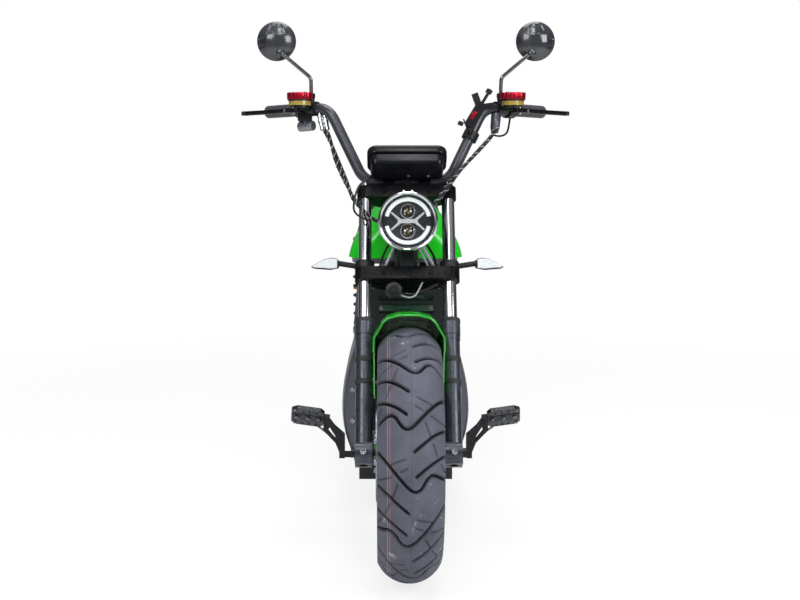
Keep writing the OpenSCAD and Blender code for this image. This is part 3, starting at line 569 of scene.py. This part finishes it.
# Wheels: a five-spoke cast front wheel and a rear wheel built round its hub motor, both in black
# enamel, with a rubber valve. Steel brake discs are bolted to the right of each hub.
valve_rubber = finish("valve_rubber", (20, 20, 21), (30, 30, 32), 0.65, grain=90, fine=900, bump=0.2)
dress(finish("wheel_enamel", (30, 31, 34), (40, 41, 45), 0.3, metallic=0.4, grain=30, fine=900), "front_rim",
    "rear_rim")
dress(finish("disc_steel", (172, 174, 180), (140, 142, 150), 0.28, metallic=1.0, grain=160, fine=1200, bump=0.1),
    "front_disc", "rear_disc")
dress(cast_black, "front_axle", "front_caliper", "rear_caliper")
for name, y, z, body, disc_x in (("front", front_y, front_z, "front_wheel", -0.061),
        ("rear", rear_y, rear_z, "rear_wheel", -0.066)):
    studs = bmesh.new()
    for k in range(5):
        a = tau * (k + 0.5) / 5
        screw(studs, at((disc_x, y + 0.032 * sin(a), z + 0.032 * cos(a)), (-1, 0, 0)), 0.006)
    if name == "rear":
        for k in range(12):
            a = tau * k / 12
            for side in (-1, 1):
                screw(studs, at((0.039 * side, y + 0.092 * sin(a), z + 0.092 * cos(a)), (side, 0, 0)), 0.005)
    settle(name + "_wheel_bolts", studs, body, "steel", zinc_screw)
    valve = bmesh.new()
    turned(valve, [(0, 0.036), (0.003, 0.036), (0.0042, 0.034), (0.0042, 0.026), (0.0032, 0.025), (0.0036, 0.01),
        (0.006, 0)], 14, at((0.02, y, z - 0.136), (0, 0, 1)))
    settle(name + "_valve", valve, body, "rubber", valve_rubber)

# Fork: forged clamps in black, hard-chromed tubes, and enamelled sliders with rubber dust seals. Bright
# pinch bolts hold the axle, and cap bolts close the tubes above the upper clamp.
rake, tube_x = radians(28), 0.084
fork = Matrix.Translation((0, front_y, front_z)) @ Matrix.Rotation(-rake, 4, "X")
bright_chrome = finish("bright_chrome", (196, 198, 202), (184, 186, 191), 0.07, metallic=1.0, grain=14, fine=500,
    bump=0.0, spread=0.03)
clamp_black = finish("clamp_black", (9, 10, 12), (14, 15, 17), 0.3, grain=70, fine=1300, bump=0.1, level=0.07)
dress(clamp_black, "lower_clamp", "upper_clamp", "bar_clamps")
dress(bright_chrome, "fork_tubes")
dress(finish("fork_enamel", (50, 52, 60), (62, 65, 74), 0.32, metallic=0.5, grain=40, fine=1100, bump=0.06),
    "fork_sliders")
seals, fork_bolts, clamp_bolts = bmesh.new(), bmesh.new(), bmesh.new()
for x in (-tube_x, tube_x):
    turned(seals, [(0.0131, 0.2655), (0.0155, 0.267), (0.0182, 0.2655), (0.0192, 0.262), (0.0192, 0.2585),
        (0.0184, 0.2572), (0.0131, 0.2572)], 40, fork @ at((x, 0, 0)))
    screw(fork_bolts, fork @ at((x, -0.0206, -0.003), (0, -1, 0)), 0.0065)
    screw(fork_bolts, fork @ at((x, 0, 0.556)), 0.011)
    for y, l in ((-0.02, 0.358), (-0.017, 0.539)):
        screw(clamp_bolts, fork @ at((0.55 * x, y, l), (0, -1, 0)), 0.0045)
    for l in (0.131, 0.176):
        turned(seals, [(0.017, 0.01), (0.018, 0.01), (0.0184, 0.009), (0.0184, 0.001), (0.018, 0.0), (0.017, 0.0)], 40,
            fork @ at((x, 0, l)))
for x in (-0.036, 0.036):
    for y in (-0.0145, 0.0145):
        screw(clamp_bolts, fork @ at((x, y, 0.5782)), 0.0035)
settle("dust_seals", seals, "steering", "rubber", valve_rubber)
settle("fork_bolts", fork_bolts, "steering", "steel", zinc_screw)
settle("clamp_bolts", clamp_bolts, "steering", "alloy_black", clamp_black)

# Front fender: pressed green steel over the tyre with slanted shoulders and a rolled, rounded border.
# It is bolted by its side tabs to lugs on the sliders.
dress(green_paint, "front_fender")
lip_green = finish("lip_green", (16, 138, 20), (12, 122, 16), 0.24, grain=6, fine=250, bump=0.01, coat=0.5, spread=0.04)
side_r, side_x = 0.1945, 0.0644
edge_half = [(side_r, side_x), (0.2208, side_x), (0.249, 0.048), (0.2575, 0.0388), (0.2628, 0.0188), (0.2633, 0)]
edge_line = edge_half + [(r, -x) for r, x in edge_half[-2::-1]]
for name, turn in (("fender_front_lip", 186), ("fender_rear_lip", 72)):
    a = radians(turn)
    tube(name, [(x, front_y + r * sin(a), front_z - r * cos(a)) for r, x in edge_line], 0.0022, "steering", "green",
        lip_green)
for side, name in ((-side_x, "fender_right_lip"), (side_x, "fender_left_lip")):
    tube(name, [(side, front_y + side_r * sin(radians(t)), front_z - side_r * cos(radians(t)))
        for t in range(72, 187, 3)], 0.0019, "steering", "green", lip_green)
tab_bolts = bmesh.new()
for x in (-1, 1):
    screw(tab_bolts, fork @ at((0.0628 * x, 0, 0.138), (-x, 0, 0)), 0.0055)
settle("tab_bolts", tab_bolts, "steering", "steel", zinc_screw)

# Headlamp: a black bowl with a chromed rim and a domed clear lens. Inside, a dark reflector carries two white
# light arcs, a pale cross bar with four arms and two cups with LED chips, one above the other.
lamp = Matrix.Translation((0, aft(110), 0.663)) @ Matrix.Rotation(radians(-90), 4, "X")
light_guide = finish("light_guide", (232, 238, 238), (222, 229, 229), 0.3, grain=40, fine=600, bump=0.02,
    extra={"Emission Color": (0.9, 1.0, 0.98, 1), "Emission Strength": 0.2})
cross_silver = finish("cross_silver", (196, 198, 202), (182, 184, 189), 0.35, metallic=0.2, fine=700)
led_yellow = finish("led_yellow", (196, 178, 88), (160, 140, 52), 0.2, grain=300, fine=900, coat=0.6)
dress(black_moulding, "headlamp_bowl")
dress(finish("dark_reflector", (26, 27, 31), (38, 40, 45), 0.32, metallic=0.4, grain=30, fine=500, bump=0.02),
    "headlamp_insert")
rim = bmesh.new()
turned(rim, [(0.0508, 0.0158), (0.0508, 0.0045), (0.0512, 0.0018), (0.0526, 0.0002), (0.0545, -0.0004), (0.0566, 0.001),
    (0.0578, 0.004), (0.058, 0.009), (0.0574, 0.0145), (0.056, 0.0158), (0.0508, 0.0158)], 96, lamp)
for x in (-0.008, 0.008):
    turned(rim, [(0, 0.0034), (0.0022, 0.0028), (0.0036, 0.001), (0.004, -0.002), (0, -0.002)], 16,
        lamp @ at((x, -0.0575, 0.007), (0, -1, 0)))
settle("headlamp_rim", rim, "steering", "chrome", bright_chrome, stands_for=("headlamp_ring",))
bezel = bmesh.new()
turned(bezel, [(0.0507, 0.0095), (0.0495, 0.0098), (0.0478, 0.0125), (0.0468, 0.0175), (0.0478, 0.0178),
    (0.0507, 0.011), (0.0507, 0.0095)], 96, lamp)
settle("headlamp_bezel", bezel, "steering", "black_plastic", black_moulding)
arcs = bmesh.new()
for start in (13, 193):
    old = set(arcs.verts)
    face = arcs.faces.new([arcs.verts.new((r, 0, h)) for r, h in ((0.0378, 0.0182), (0.0378, 0.0125), (0.0392, 0.0113),
        (0.0446, 0.0113), (0.046, 0.0125), (0.046, 0.0182))])
    bmesh.ops.rotate(arcs, cent=(0, 0, 0), matrix=Matrix.Rotation(radians(start), 3, "Z"), verts=face.verts[:])
    bmesh.ops.spin(arcs, geom=[face], cent=(0, 0, 0), axis=(0, 0, 1), angle=radians(154), steps=40)
    bmesh.ops.transform(arcs, matrix=lamp, verts=[v for v in arcs.verts if v not in old])
settle("light_arcs", arcs, "steering", "lens_clear", light_guide)
cross = bmesh.new()
block(cross, [(-0.0135, -0.004), (-0.031, -0.018), (-0.033, -0.0155), (-0.0195, -0.0025), (-0.0195, 0.0025),
    (-0.033, 0.0155), (-0.031, 0.018),
    (-0.0135, 0.004), (0.0135, 0.004), (0.031, 0.018), (0.033, 0.0155), (0.0195, 0.0025), (0.0195, -0.0025),
    (0.033, -0.0155), (0.031, -0.018), (0.0135, -0.004)], 0.007, lamp @ at((0, 0, 0.0122)))
settle("lamp_cross", cross, "steering", "light_alloy", cross_silver)
cups, chips = bmesh.new(), bmesh.new()
for y in (-0.019, 0.019):
    turned(cups, [(0.0152, 0.0184), (0.0148, 0.0166), (0.0132, 0.0164), (0.0118, 0.0184), (0.0128, 0.0186)], 40,
        lamp @ at((0, y, 0)))
    for x in (-0.0055, 0.0055):
        turned(cups, [(0, 0.0166), (0.0018, 0.017), (0.0034, 0.0186), (0.004, 0.021), (0.004, 0.026)], 20,
            lamp @ at((x, y, 0)))
    for x, dy in ((-0.0015, -0.003), (0.0015, 0.003), (-0.006, 0.006), (0.006, -0.006)):
        block(chips, plate(0.0018, 0.0018, x, dy), 0.002, lamp @ at((0, y, 0.0225)), soften=0.0003)
settle("led_cups", cups, "steering", "chrome", bright_chrome)
settle("led_chips", chips, "steering", "fluid", led_yellow)
clear_lens = finish("clear_lens", (76, 80, 82), (66, 70, 72), 0.04, grain=12, fine=200, bump=0.0, coat=1.0, spread=0.02,
    extra={"Alpha": 0.07})
dome = bmesh.new()
turned(dome, [(0, -0.004), (0.012, -0.0037), (0.024, -0.0028), (0.036, -0.001), (0.045, 0.0014), (0.0505, 0.0045),
    (0.0505, 0.0085), (0.048, 0.0068), (0.036, 0.0022), (0.024, 0.0004), (0.012, -0.0006), (0, -0.001)], 72, lamp)
settle("lamp_glass", dome, "steering", "lens_clear", clear_lens, stands_for=("headlamp_lens",))

# Horn: a small disc horn of pressed steel in black, with a turned rim. It hangs on a strap of bent sheet
# under the lower clamp.
horn = bmesh.new()
turned(horn, [(0, 0.0125), (0.006, 0.0125), (0.0075, 0.011), (0.013, 0.0105), (0.0155, 0.009), (0.0165, 0.0065),
    (0.0165, 0.001), (0.015, -0.001), (0.009, -0.002), (0.0075, -0.012), (0, -0.012)], 32,
    fork @ at((-0.027, -0.004, 0.326), (0, -0.95, -0.3)))
block(horn, plate(0.005, 0.001), 0.022, fork @ at((-0.027, 0.009, 0.3235)), soften=0.0003)
settle("horn", horn, "steering", "black_plastic", black_moulding)

# Turn lamps: leaf-shaped clear lenses over black trays, on flat stalks that are clamped round the fork
# tubes just above the lower clamp.
dress(black_moulding, "front_indicators")
dress(finish("leaf_clear", (214, 219, 220), (190, 196, 199), 0.12, grain=40, fine=300, bump=0.03, coat=0.6),
    "indicator_lenses")
trays = bmesh.new()
for side in (-1, 1):
    root = fork @ Vector((0.101, 0, 0.379)) + Vector((0.0376, 0.006, 0.006))
    place = Matrix.Scale(side, 4, (1, 0, 0)) @ Matrix.Translation(root) @ Matrix.Rotation(radians(90), 4, "X")
    block(trays, [(-0.003, -0.009), (-0.003, 0.006), (0, 0.006), (0.0005, -0.0078), (0.014, -0.0092), (0.028, -0.0078),
        (0.046, -0.0068), (0.0505, -0.0046),
        (0.0515, -0.0062), (0.046, -0.0096), (0.028, -0.011), (0.014, -0.0122)], 0.024, place, soften=0.0005)
settle("lamp_trays", trays, "steering", "black_plastic", black_moulding)

# Handlebar: one steel tube of 22 mm, bent up from the clamps and swept back to the grips, in the same
# dark powder coat as the frame.
bar_coat = finish("bar_coat", (46, 48, 54), (56, 58, 64), 0.34, metallic=0.3, grain=25, fine=1000)


def rounded(points, bend, steps):
    p = [Vector(q) for q in points]
    path = [p[0]]
    for a, b, c in zip(p, p[1:], p[2:]):
        d1, d2 = (b - a).normalized(), (c - b).normalized()
        turn = d1.angle(d2)
        side = (d2 - d1 * d1.dot(d2)).normalized()
        start = b - d1 * bend * math.tan(turn / 2)
        path += [start + bend * (sin(turn * k / steps) * d1 + (1 - cos(turn * k / steps)) * side)
            for k in range(steps + 1)]
    return path + [p[-1]]


bar_half = [(0.086, aft(266.2), 0.7371), (0.161, aft(305), 0.89), (0.297, aft(421), 0.888)]
bar = tube("bar_tube", rounded([(-x, y, z) for x, y, z in bar_half[::-1]] + bar_half, 0.046, 14), 0.0111, "steering",
    "frame_black", bar_coat, sides=20)
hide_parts("handlebar")

# Grips, brake perches and levers: ribbed rubber grips, and cast perches with fluid cups under red anodised
# caps on black collars. The flat black levers turn on screws and have a squared tip and two bright rings.
grip_rubber = finish("grip_rubber", (46, 47, 50), (58, 59, 62), 0.36, fine=1200, bump=0.2)
lever_black = finish("lever_black", (8, 8, 10), (13, 13, 15), 0.3, grain=80, fine=900, level=0.3)
red_anodise = finish("red_anodise", (172, 20, 44), (146, 12, 34), 0.24, metallic=0.75, grain=40, fine=800, bump=0.03)
dress(cast_black, "brake_perches")
dress(finish("brake_fluid", (160, 142, 66), (136, 118, 46), 0.1, grain=30, bump=0.0, coat=1.0, spread=0.03),
    "reservoirs")
dress(black_moulding, "switch_pods")
grip_run = Vector(bar_half[2]) - Vector(bar_half[1])
grip_dir, grip_len = grip_run.normalized(), grip_run.length
perch = Vector(bar_half[1]) + grip_dir * 0.045
control = Matrix.Translation(perch) @ Matrix.Rotation(math.atan2(grip_run.y, grip_run.x), 4, "Z")
ribs = [(0.0115, 0.0), (0.0142, 0.0), (0.0148, 0.002), (0.0142, 0.004)]
for k in range(20):
    ribs += [(0.0135, 0.005 + 0.0042 * k), (0.0135, 0.0074 + 0.0042 * k), (0.0127, 0.0078 + 0.0042 * k),
        (0.0127, 0.0088 + 0.0042 * k)]
ribs += [(0.0135, 0.0905), (0.0134, 0.0925), (0.012, 0.094), (0, 0.094)]
grips, levers, rings, pivots, caps, cap_screws, collars = (bmesh.new() for _ in range(7))
for side in (-1, 1):
    flip = Matrix.Scale(side, 4, (1, 0, 0))
    turned(grips, ribs, 32, flip @ at(Vector(bar_half[1]) + grip_dir * (grip_len - 0.092), grip_dir))
    block(levers, [(-0.012, -0.0635), (0.014, -0.0635), (0.034, -0.058), (0.056, -0.054), (0.1645, -0.0492),
        (0.169, -0.0486), (0.17, -0.047),
        (0.17, -0.0405), (0.169, -0.0388), (0.1645, -0.0383), (0.056, -0.0432), (0.036, -0.0452),
        (0.014, -0.049), (-0.012, -0.049)], 0.009, flip @ control @ at((0, 0, -0.01)), soften=0.0022, rounds=3)
    for x in (0.1575, 0.1625):
        block(rings, [(x, -0.0496), (x + 0.0012, -0.0495), (x + 0.0012, -0.0382), (x, -0.0383)], 0.0096,
            flip @ control @ at((0, 0, -0.0103)), soften=0.0002)
    for face in (-1, 1):
        screw(pivots, flip @ control @ at((0.002, -0.0562, -0.0055 + 0.0046 * face), (0, 0, face)), 0.0052)
    screw(pivots, flip @ control @ at((0.024, -0.06, -0.0055), (0.3, -1, 0)), 0.0036)
    cup = flip @ control @ at((0, -0.039, 0.0174))
    scallop = [(0.0262 + 0.0005 * cos(20 * a), a) for a in (tau * k / 160 for k in range(160))]
    block(caps, [(r * cos(a), r * sin(a)) for r, a in scallop], 0.0138, cup, soften=0.0018, rounds=3)
    turned(collars, [(0.0231, -0.003), (0.0243, -0.003), (0.0243, -0.0003), (0.0231, -0.0003)], 48, cup)
    for k in range(2):
        screw(cap_screws, cup @ at((0.016 * (1 - 2 * k), 0, 0.0136)), 0.003)
settle("ribbed_grips", grips, "steering", "rubber", grip_rubber, stands_for=("grips",))
settle("lever_blades", levers, "steering", "alloy_black", lever_black, stands_for=("brake_levers",))
settle("lever_rings", rings, "steering", "steel", plain_steel)
settle("lever_screws", pivots, "steering", "steel", zinc_screw)
settle("cup_caps", caps, "steering", "red_anodised", red_anodise, stands_for=("reservoir_caps",))
settle("cap_screws", cap_screws, "steering", "steel", zinc_screw)
settle("cup_collars", collars, "steering", "black_plastic", black_moulding)

# Control fittings: a grey barrel switch with a black box under the right perch, bright hose ends beside it,
# and a grey cast hose guide on the left, each clamped to the bar.
barrel_grey = finish("barrel_grey", (128, 131, 138), (104, 107, 114), 0.3, metallic=0.5, fine=900)
guide_grey = finish("guide_grey", (86, 89, 97), (70, 73, 80), 0.38, metallic=0.4, fine=900, bump=0.1)
barrel = bmesh.new()
turned(barrel, [(0, 0), (0.0085, 0), (0.0102, 0.0012), (0.0108, 0.004), (0.0108, 0.033), (0.0098, 0.036), (0, 0.036)],
    32, at((-0.2255, aft(350), 0.853), (0.86, -0.5, 0.06)))
block(barrel, plate(0.006, 0.006), 0.018, at((-0.209, aft(340), 0.86)), soften=0.001)
settle("switch_barrel", barrel, "steering", "light_alloy", barrel_grey)
switch_box = bmesh.new()
block(switch_box, [(-0.016, -0.01), (0.012, -0.012), (0.014, 0.008), (-0.016, 0.01)], 0.019,
    at((-0.2115, aft(341), 0.8635)), soften=0.003, rounds=3)
settle("switch_box", switch_box, "steering", "black_plastic", black_moulding)
guide = bmesh.new()
turned(guide, [(0, 0), (0.0085, 0), (0.0105, 0.003), (0.0098, 0.03), (0.0078, 0.04), (0, 0.04)], 24,
    at((0.188, aft(318), 0.878), (-0.1, -0.3, -0.9)))
settle("hose_guide", guide, "steering", "alloy_black", guide_grey)
hose_ends = bmesh.new()
for dx in (-0.0052, 0.0052):
    turned(hose_ends, [(0, 0), (0.0046, 0), (0.0052, 0.001), (0.0052, 0.009), (0.004, 0.0095), (0.004, 0.014),
        (0.0058, 0.0145), (0.0058, 0.022), (0.0048, 0.0228), (0.0048, 0.036), (0, 0.036)], 12,
        at((-0.176 + dx, aft(314), 0.879), (0.2, -0.25, -0.9)))
settle("hose_ends", hose_ends, "steering", "chrome", bright_chrome)

# Mirrors: round dark glossy shells, moulded with two sunk fields and a boss, on cranked rods in dark chrome
# with a locknut at the perch. The silvered glass faces the rider.
mirror_shell = finish("mirror_shell", (32, 34, 40), (40, 42, 48), 0.24, grain=20, fine=500, bump=0.02, coat=0.35)
dark_chrome = finish("dark_chrome", (116, 118, 123), (104, 106, 111), 0.08, metallic=1.0, grain=14, fine=500, bump=0.0,
    spread=0.03)
dress(finish("silvered_glass", (225, 228, 232), (220, 224, 228), 0.03, metallic=1.0, grain=8, fine=200, bump=0.0,
    spread=0.01), "mirror_glasses")
shells, nuts = bmesh.new(), bmesh.new()
for side in (-1, 1):
    back = at((0.272 * side, aft(352), 1.031), (0, -1, 0))
    old = set(shells.verts)
    turned(shells, [(0.037, -0.001), (0.037, -0.004), (0.0402, -0.004), (0.041, -0.0008)] +
        [(0.0016 * k, 0.017 * (1 - (0.0016 * k / 0.0412) ** 2.4)) for k in range(25, -1, -1)], 120, Matrix())
    for v in set(shells.verts) - old:
        u, w = v.co.x * side, v.co.y
        if v.co.z > 0.0015:
            top = min(0.02 - 0.42 * (w - 0.014) - abs(u), w - 0.014, 0.034 - w)
            edge = min(u - 0.024, 0.037 - u, 0.011 - abs(w + 0.004))
            v.co.z -= 0.0018 * min(max(max(top, edge) / 0.0016, 0), 1)
    bmesh.ops.transform(shells, matrix=back, verts=list(set(shells.verts) - old))
    turned(shells, [(0.0045, 0.0), (0.0075, 0.0), (0.0085, 0.0025), (0.0085, 0.0115), (0.007, 0.014), (0.0045, 0.014)],
        20, at((0.259 * side, aft(340.3), 1.0), (0.6 * side, 0, 0.8)))
    stem_foot = perch + Vector((0.004, 0.01, 0.0222))
    foot = Matrix.Scale(side, 4, (1, 0, 0)) @ at(stem_foot)
    turned(nuts, [(0.0042, 0.011), (0.0075, 0.011), (0.0082, 0.0095), (0.0082, 0.0015), (0.0075, 0.0), (0.0042, 0.0)],
        6, foot)
    bend = stem_foot + Vector((0, -0.009, 0.042))
    socket = Vector((0.265, aft(340), 1.009))
    rod = tube(f"mirror_stem_{(1 + side) // 2}", rounded([(side * p.x, p.y, p.z) for p in (stem_foot, bend, socket)],
        0.014, 8), 0.0039, "steering", "alloy_black", dark_chrome, sides=16)
    if side == 1:
        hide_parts("mirror_stems")
settle("mirror_shells", shells, "steering", "mirror_back", mirror_shell, stands_for=("mirror_heads",))
settle("mirror_nuts", nuts, "steering", "alloy_black", cast_black)

# Display: a two-part black case with rounded ends. The lid meets a tapering tub at a seam, two screws close
# it from below, and a dark window faces the rider.
gloss_case = finish("gloss_case", (14, 15, 18), (20, 21, 25), 0.18, grain=30, fine=1500, bump=0.05, spread=0.06,
    level=0.14)
screen_glass = finish("screen_glass", (10, 12, 16), (16, 18, 24), 0.05, grain=10, fine=200, bump=0.0, coat=1.0,
    spread=0.02)
dial = Matrix.Translation((0, aft(228), 0.776)) @ Matrix.Rotation(radians(-36), 4, "X")


def lozenge(inset, h):
    ring = []
    for k in range(96):
        a = tau * (k + 0.5) / 96
        c, s = cos(a), sin(a)
        ring.append(dial @ Vector((math.copysign(0.06, c) + (0.02 - inset) * c,
            math.copysign(0.016, s) + (0.02 - inset) * s, h)))
    return ring


case = bmesh.new()
case_loops = bridged(case, [lozenge(i, h) for i, h in (
    (0.0125, -0.022), (0.0095, -0.0214), (0.0075, -0.0185), (0.006, -0.008), (0.0055, -0.0012), (0.0075, -0.0008),
    (0.0075, 0.0008), (0.001, 0.0012),
    (0.0, 0.003), (0.0, 0.014), (0.001, 0.0172), (0.0035, 0.0194), (0.0065, 0.02), (0.0078, 0.019))], True)
for loop in (case_loops[0], case_loops[-1]):
    bmesh.ops.edgeloop_fill(case, edges=loop)
block(case, [(-0.016, 0.5522), (-0.007, 0.5522), (-0.026, 0.5962), (-0.036, 0.5962)], 0.016,
    fork @ Matrix(((0, 0, 1, -0.008), (1, 0, 0, 0), (0, 1, 0, 0), (0, 0, 0, 1))))
settle("display_case", case, "steering", "black_plastic", gloss_case, stands_for=("display",))
window = bmesh.new()
window_loops = bridged(window, [lozenge(0.0095, 0.0189), lozenge(0.0095, 0.0196), lozenge(0.0102, 0.0199)], True)
for loop in (window_loops[0], window_loops[-1]):
    bmesh.ops.edgeloop_fill(window, edges=loop)
settle("display_window", window, "steering", "black_plastic", screen_glass)
dial_screws = bmesh.new()
for x in (0.003, 0.043):
    screw(dial_screws, dial @ at((x, 0.014, -0.022), (0, 0, -1)), 0.0035)
settle("dial_screws", dial_screws, "steering", "steel", zinc_screw)

# Phone holder: a moulded black cross with claws at its four ends, clamped to the left leg of the bar,
# with a small red release key.
dress(black_moulding, "phone_holder")
key = bmesh.new()
tilt = Matrix.Translation((0.148, aft(252), 0.888)) @ Matrix.Rotation(radians(31), 4, "Y")
block(key, plate(0.0035, 0.008), 0.0018, tilt @ at((-0.003, 0, -0.02), (0, -1, 0)), soften=0.0005)
claw = bmesh.new()
block(claw, plate(0.0055, 0.0042), 0.012,
    tilt @ at((-0.0165, 0.006, -0.0475), (0, -1, 0)) @ Matrix.Rotation(radians(12), 4, "Z"), soften=0.0014)
block(claw, plate(0.0085, 0.0014), 0.003,
    tilt @ at((-0.0095, 0.0025, -0.042), (0, -1, 0)) @ Matrix.Rotation(radians(-38), 4, "Z"), soften=0.0004)
settle("holder_claw", claw, "steering", "black_plastic", black_moulding)
settle("release_key", key, "steering", "red_anodised", red_anodise)

# Cable looms: two hoses on each side wind round each other from the controls to the headlamp bowl. Each is
# black rubber in a spiral of pale plastic. A thin lead joins the display to the lamp, and short leads run
# from the bowl to their plugs, to the horn and to the switch.
hose_black = finish("hose_black", (13, 13, 15), (19, 19, 21), 0.36, fine=1200, bump=0.1, level=0.2)
wrap_grey = finish("wrap_grey", (158, 160, 164), (120, 122, 127), 0.34, grain=90, fine=900)


def smooth_route(points, count):
    p = [Vector(q) for q in points]
    p = [2 * p[0] - p[1]] + p + [2 * p[-1] - p[-2]]
    route = []
    for i in range(1, len(p) - 2):
        for k in range(count):
            t = k / count
            a, b, c, d = p[i - 1], p[i], p[i + 1], p[i + 2]
            route.append(0.5 * (2 * b + (c - a) * t + (2 * a - 5 * b + 4 * c - d) * t * t
                + (3 * b - a - 3 * c + d) * t ** 3))
    return route + [p[-2]]


strand_shift, wrap_pitch, lay_turns = 0.0062, 0.019, 1.5
for side, word, way in (
        (1, "left", ((0.186, 304, 0.848), (0.176, 288, 0.832), (0.146, 262, 0.8), (0.105, 238, 0.757),
        (0.075, 222, 0.718), (0.05, 212, 0.686), (0.034, 199, 0.668))),
        (-1, "right", ((-0.168, 304, 0.845), (-0.156, 291, 0.818), (-0.141, 272, 0.777), (-0.122, 248, 0.734),
        (-0.106, 226, 0.702), (-0.084, 206, 0.678), (-0.062, 194, 0.661), (-0.038, 190, 0.656)))):
    spine = smooth_route([(x, aft(d), z) for x, d, z in way], 8)
    for strand, shift in enumerate((-strand_shift, strand_shift)):
        route = []
        for k, p in enumerate(spine):
            lay = lay_turns * tau * k / (len(spine) - 1)
            route.append(p + shift * (cos(lay) * Vector((side * 0.75, 0, 0.66)) + sin(lay) * Vector((0, 1, 0))))
        name = f"{word}_hose_{strand}"
        hose = tube(name, route, 0.0034, "steering", "rubber", hose_black)
        wind, gone = [], 0.0
        for a, b in zip(route, route[1:]):
            run = (b - a).normalized()
            over = run.cross(Vector((0, 1, 0))).normalized()
            away = run.cross(over)
            for k in range(6):
                turn = (gone + (b - a).length * k / 6) * tau / wrap_pitch
                wind.append(a + (b - a) * k / 6 + 0.0033 * (cos(turn) * over + sin(turn) * away))
            gone += (b - a).length
        wrap = tube(f"{word}_wrap_{strand}", wind, 0.001, "steering", "rubber", wrap_grey, sides=4)
        if side == 1 and strand == 0:
            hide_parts("cable_looms")
lead_route = smooth_route([(-0.062, aft(252), 0.756), (-0.074, aft(238), 0.747), (-0.096, aft(224), 0.73),
    (-0.106, aft(214), 0.7), (-0.104, aft(206), 0.677), (-0.08, aft(197), 0.663), (-0.044, aft(188), 0.66)], 8)
lead = tube("display_lead", lead_route, 0.0021, "steering", "rubber", hose_black, sides=8)
for name, r, coat, knots in (
        ("lamp_lead_0", 0.003, wrap_grey, ((-0.02, -0.018, 0.432), (-0.031, -0.016, 0.402), (-0.042, -0.011, 0.379),
        (-0.047, 0.001, 0.374))),
        ("lamp_lead_1", 0.0024, hose_black, ((-0.014, -0.018, 0.43), (-0.023, -0.02, 0.404), (-0.031, -0.014, 0.38),
        (-0.033, 0, 0.3735))),
        ("lamp_lead_2", 0.0021, hose_black, ((-0.028, -0.01, 0.437), (-0.044, -0.008, 0.408), (-0.054, -0.002, 0.38),
        (-0.056, 0.008, 0.3735))),
        ("lamp_lead_3", 0.0034, wrap_grey, ((0.022, -0.018, 0.432), (0.034, -0.018, 0.406), (0.049, -0.013, 0.38),
        (0.053, 0, 0.3745))),
        ("lamp_lead_4", 0.0022, wrap_grey, ((0.018, -0.016, 0.43), (0.027, -0.016, 0.402), (0.039, -0.011, 0.379),
        (0.042, 0.001, 0.3735))),
        ("lamp_lead_5", 0.0026, hose_black, ((0.028, -0.012, 0.438), (0.044, -0.01, 0.414), (0.055, -0.006, 0.392),
        (0.057, 0.004, 0.374))),
        ("horn_lead_0", 0.003, hose_black, ((-0.02, 0.006, 0.33), (0.006, -0.002, 0.318), (0.034, -0.004, 0.326),
        (0.06, 0.002, 0.343))),
        ("horn_lead_1", 0.0018, wrap_grey, ((-0.022, 0.004, 0.324), (0, -0.008, 0.309), (0.016, -0.008, 0.314),
        (0.03, -0.002, 0.3435))),
        ("switch_lead", 0.0021, hose_black, ((0.221, -0.325, 0.8735), (0.214, -0.333, 0.842), (0.198, -0.351, 0.833),
        (0.178, -0.386, 0.834)))):
    route = smooth_route([Vector(p) if name == "switch_lead" else fork @ Vector(p) for p in knots], 6)
    short = tube(name, route, r, "steering", "rubber", coat, sides=8)
plugs = bmesh.new()
for x in (-0.036, 0.036):
    block(plugs, plate(0.012, 0.007), 0.017, fork @ at((x, 0.006, 0.3708)), soften=0.001)
settle("lead_plugs", plugs, "steering", "black_plastic", black_moulding)
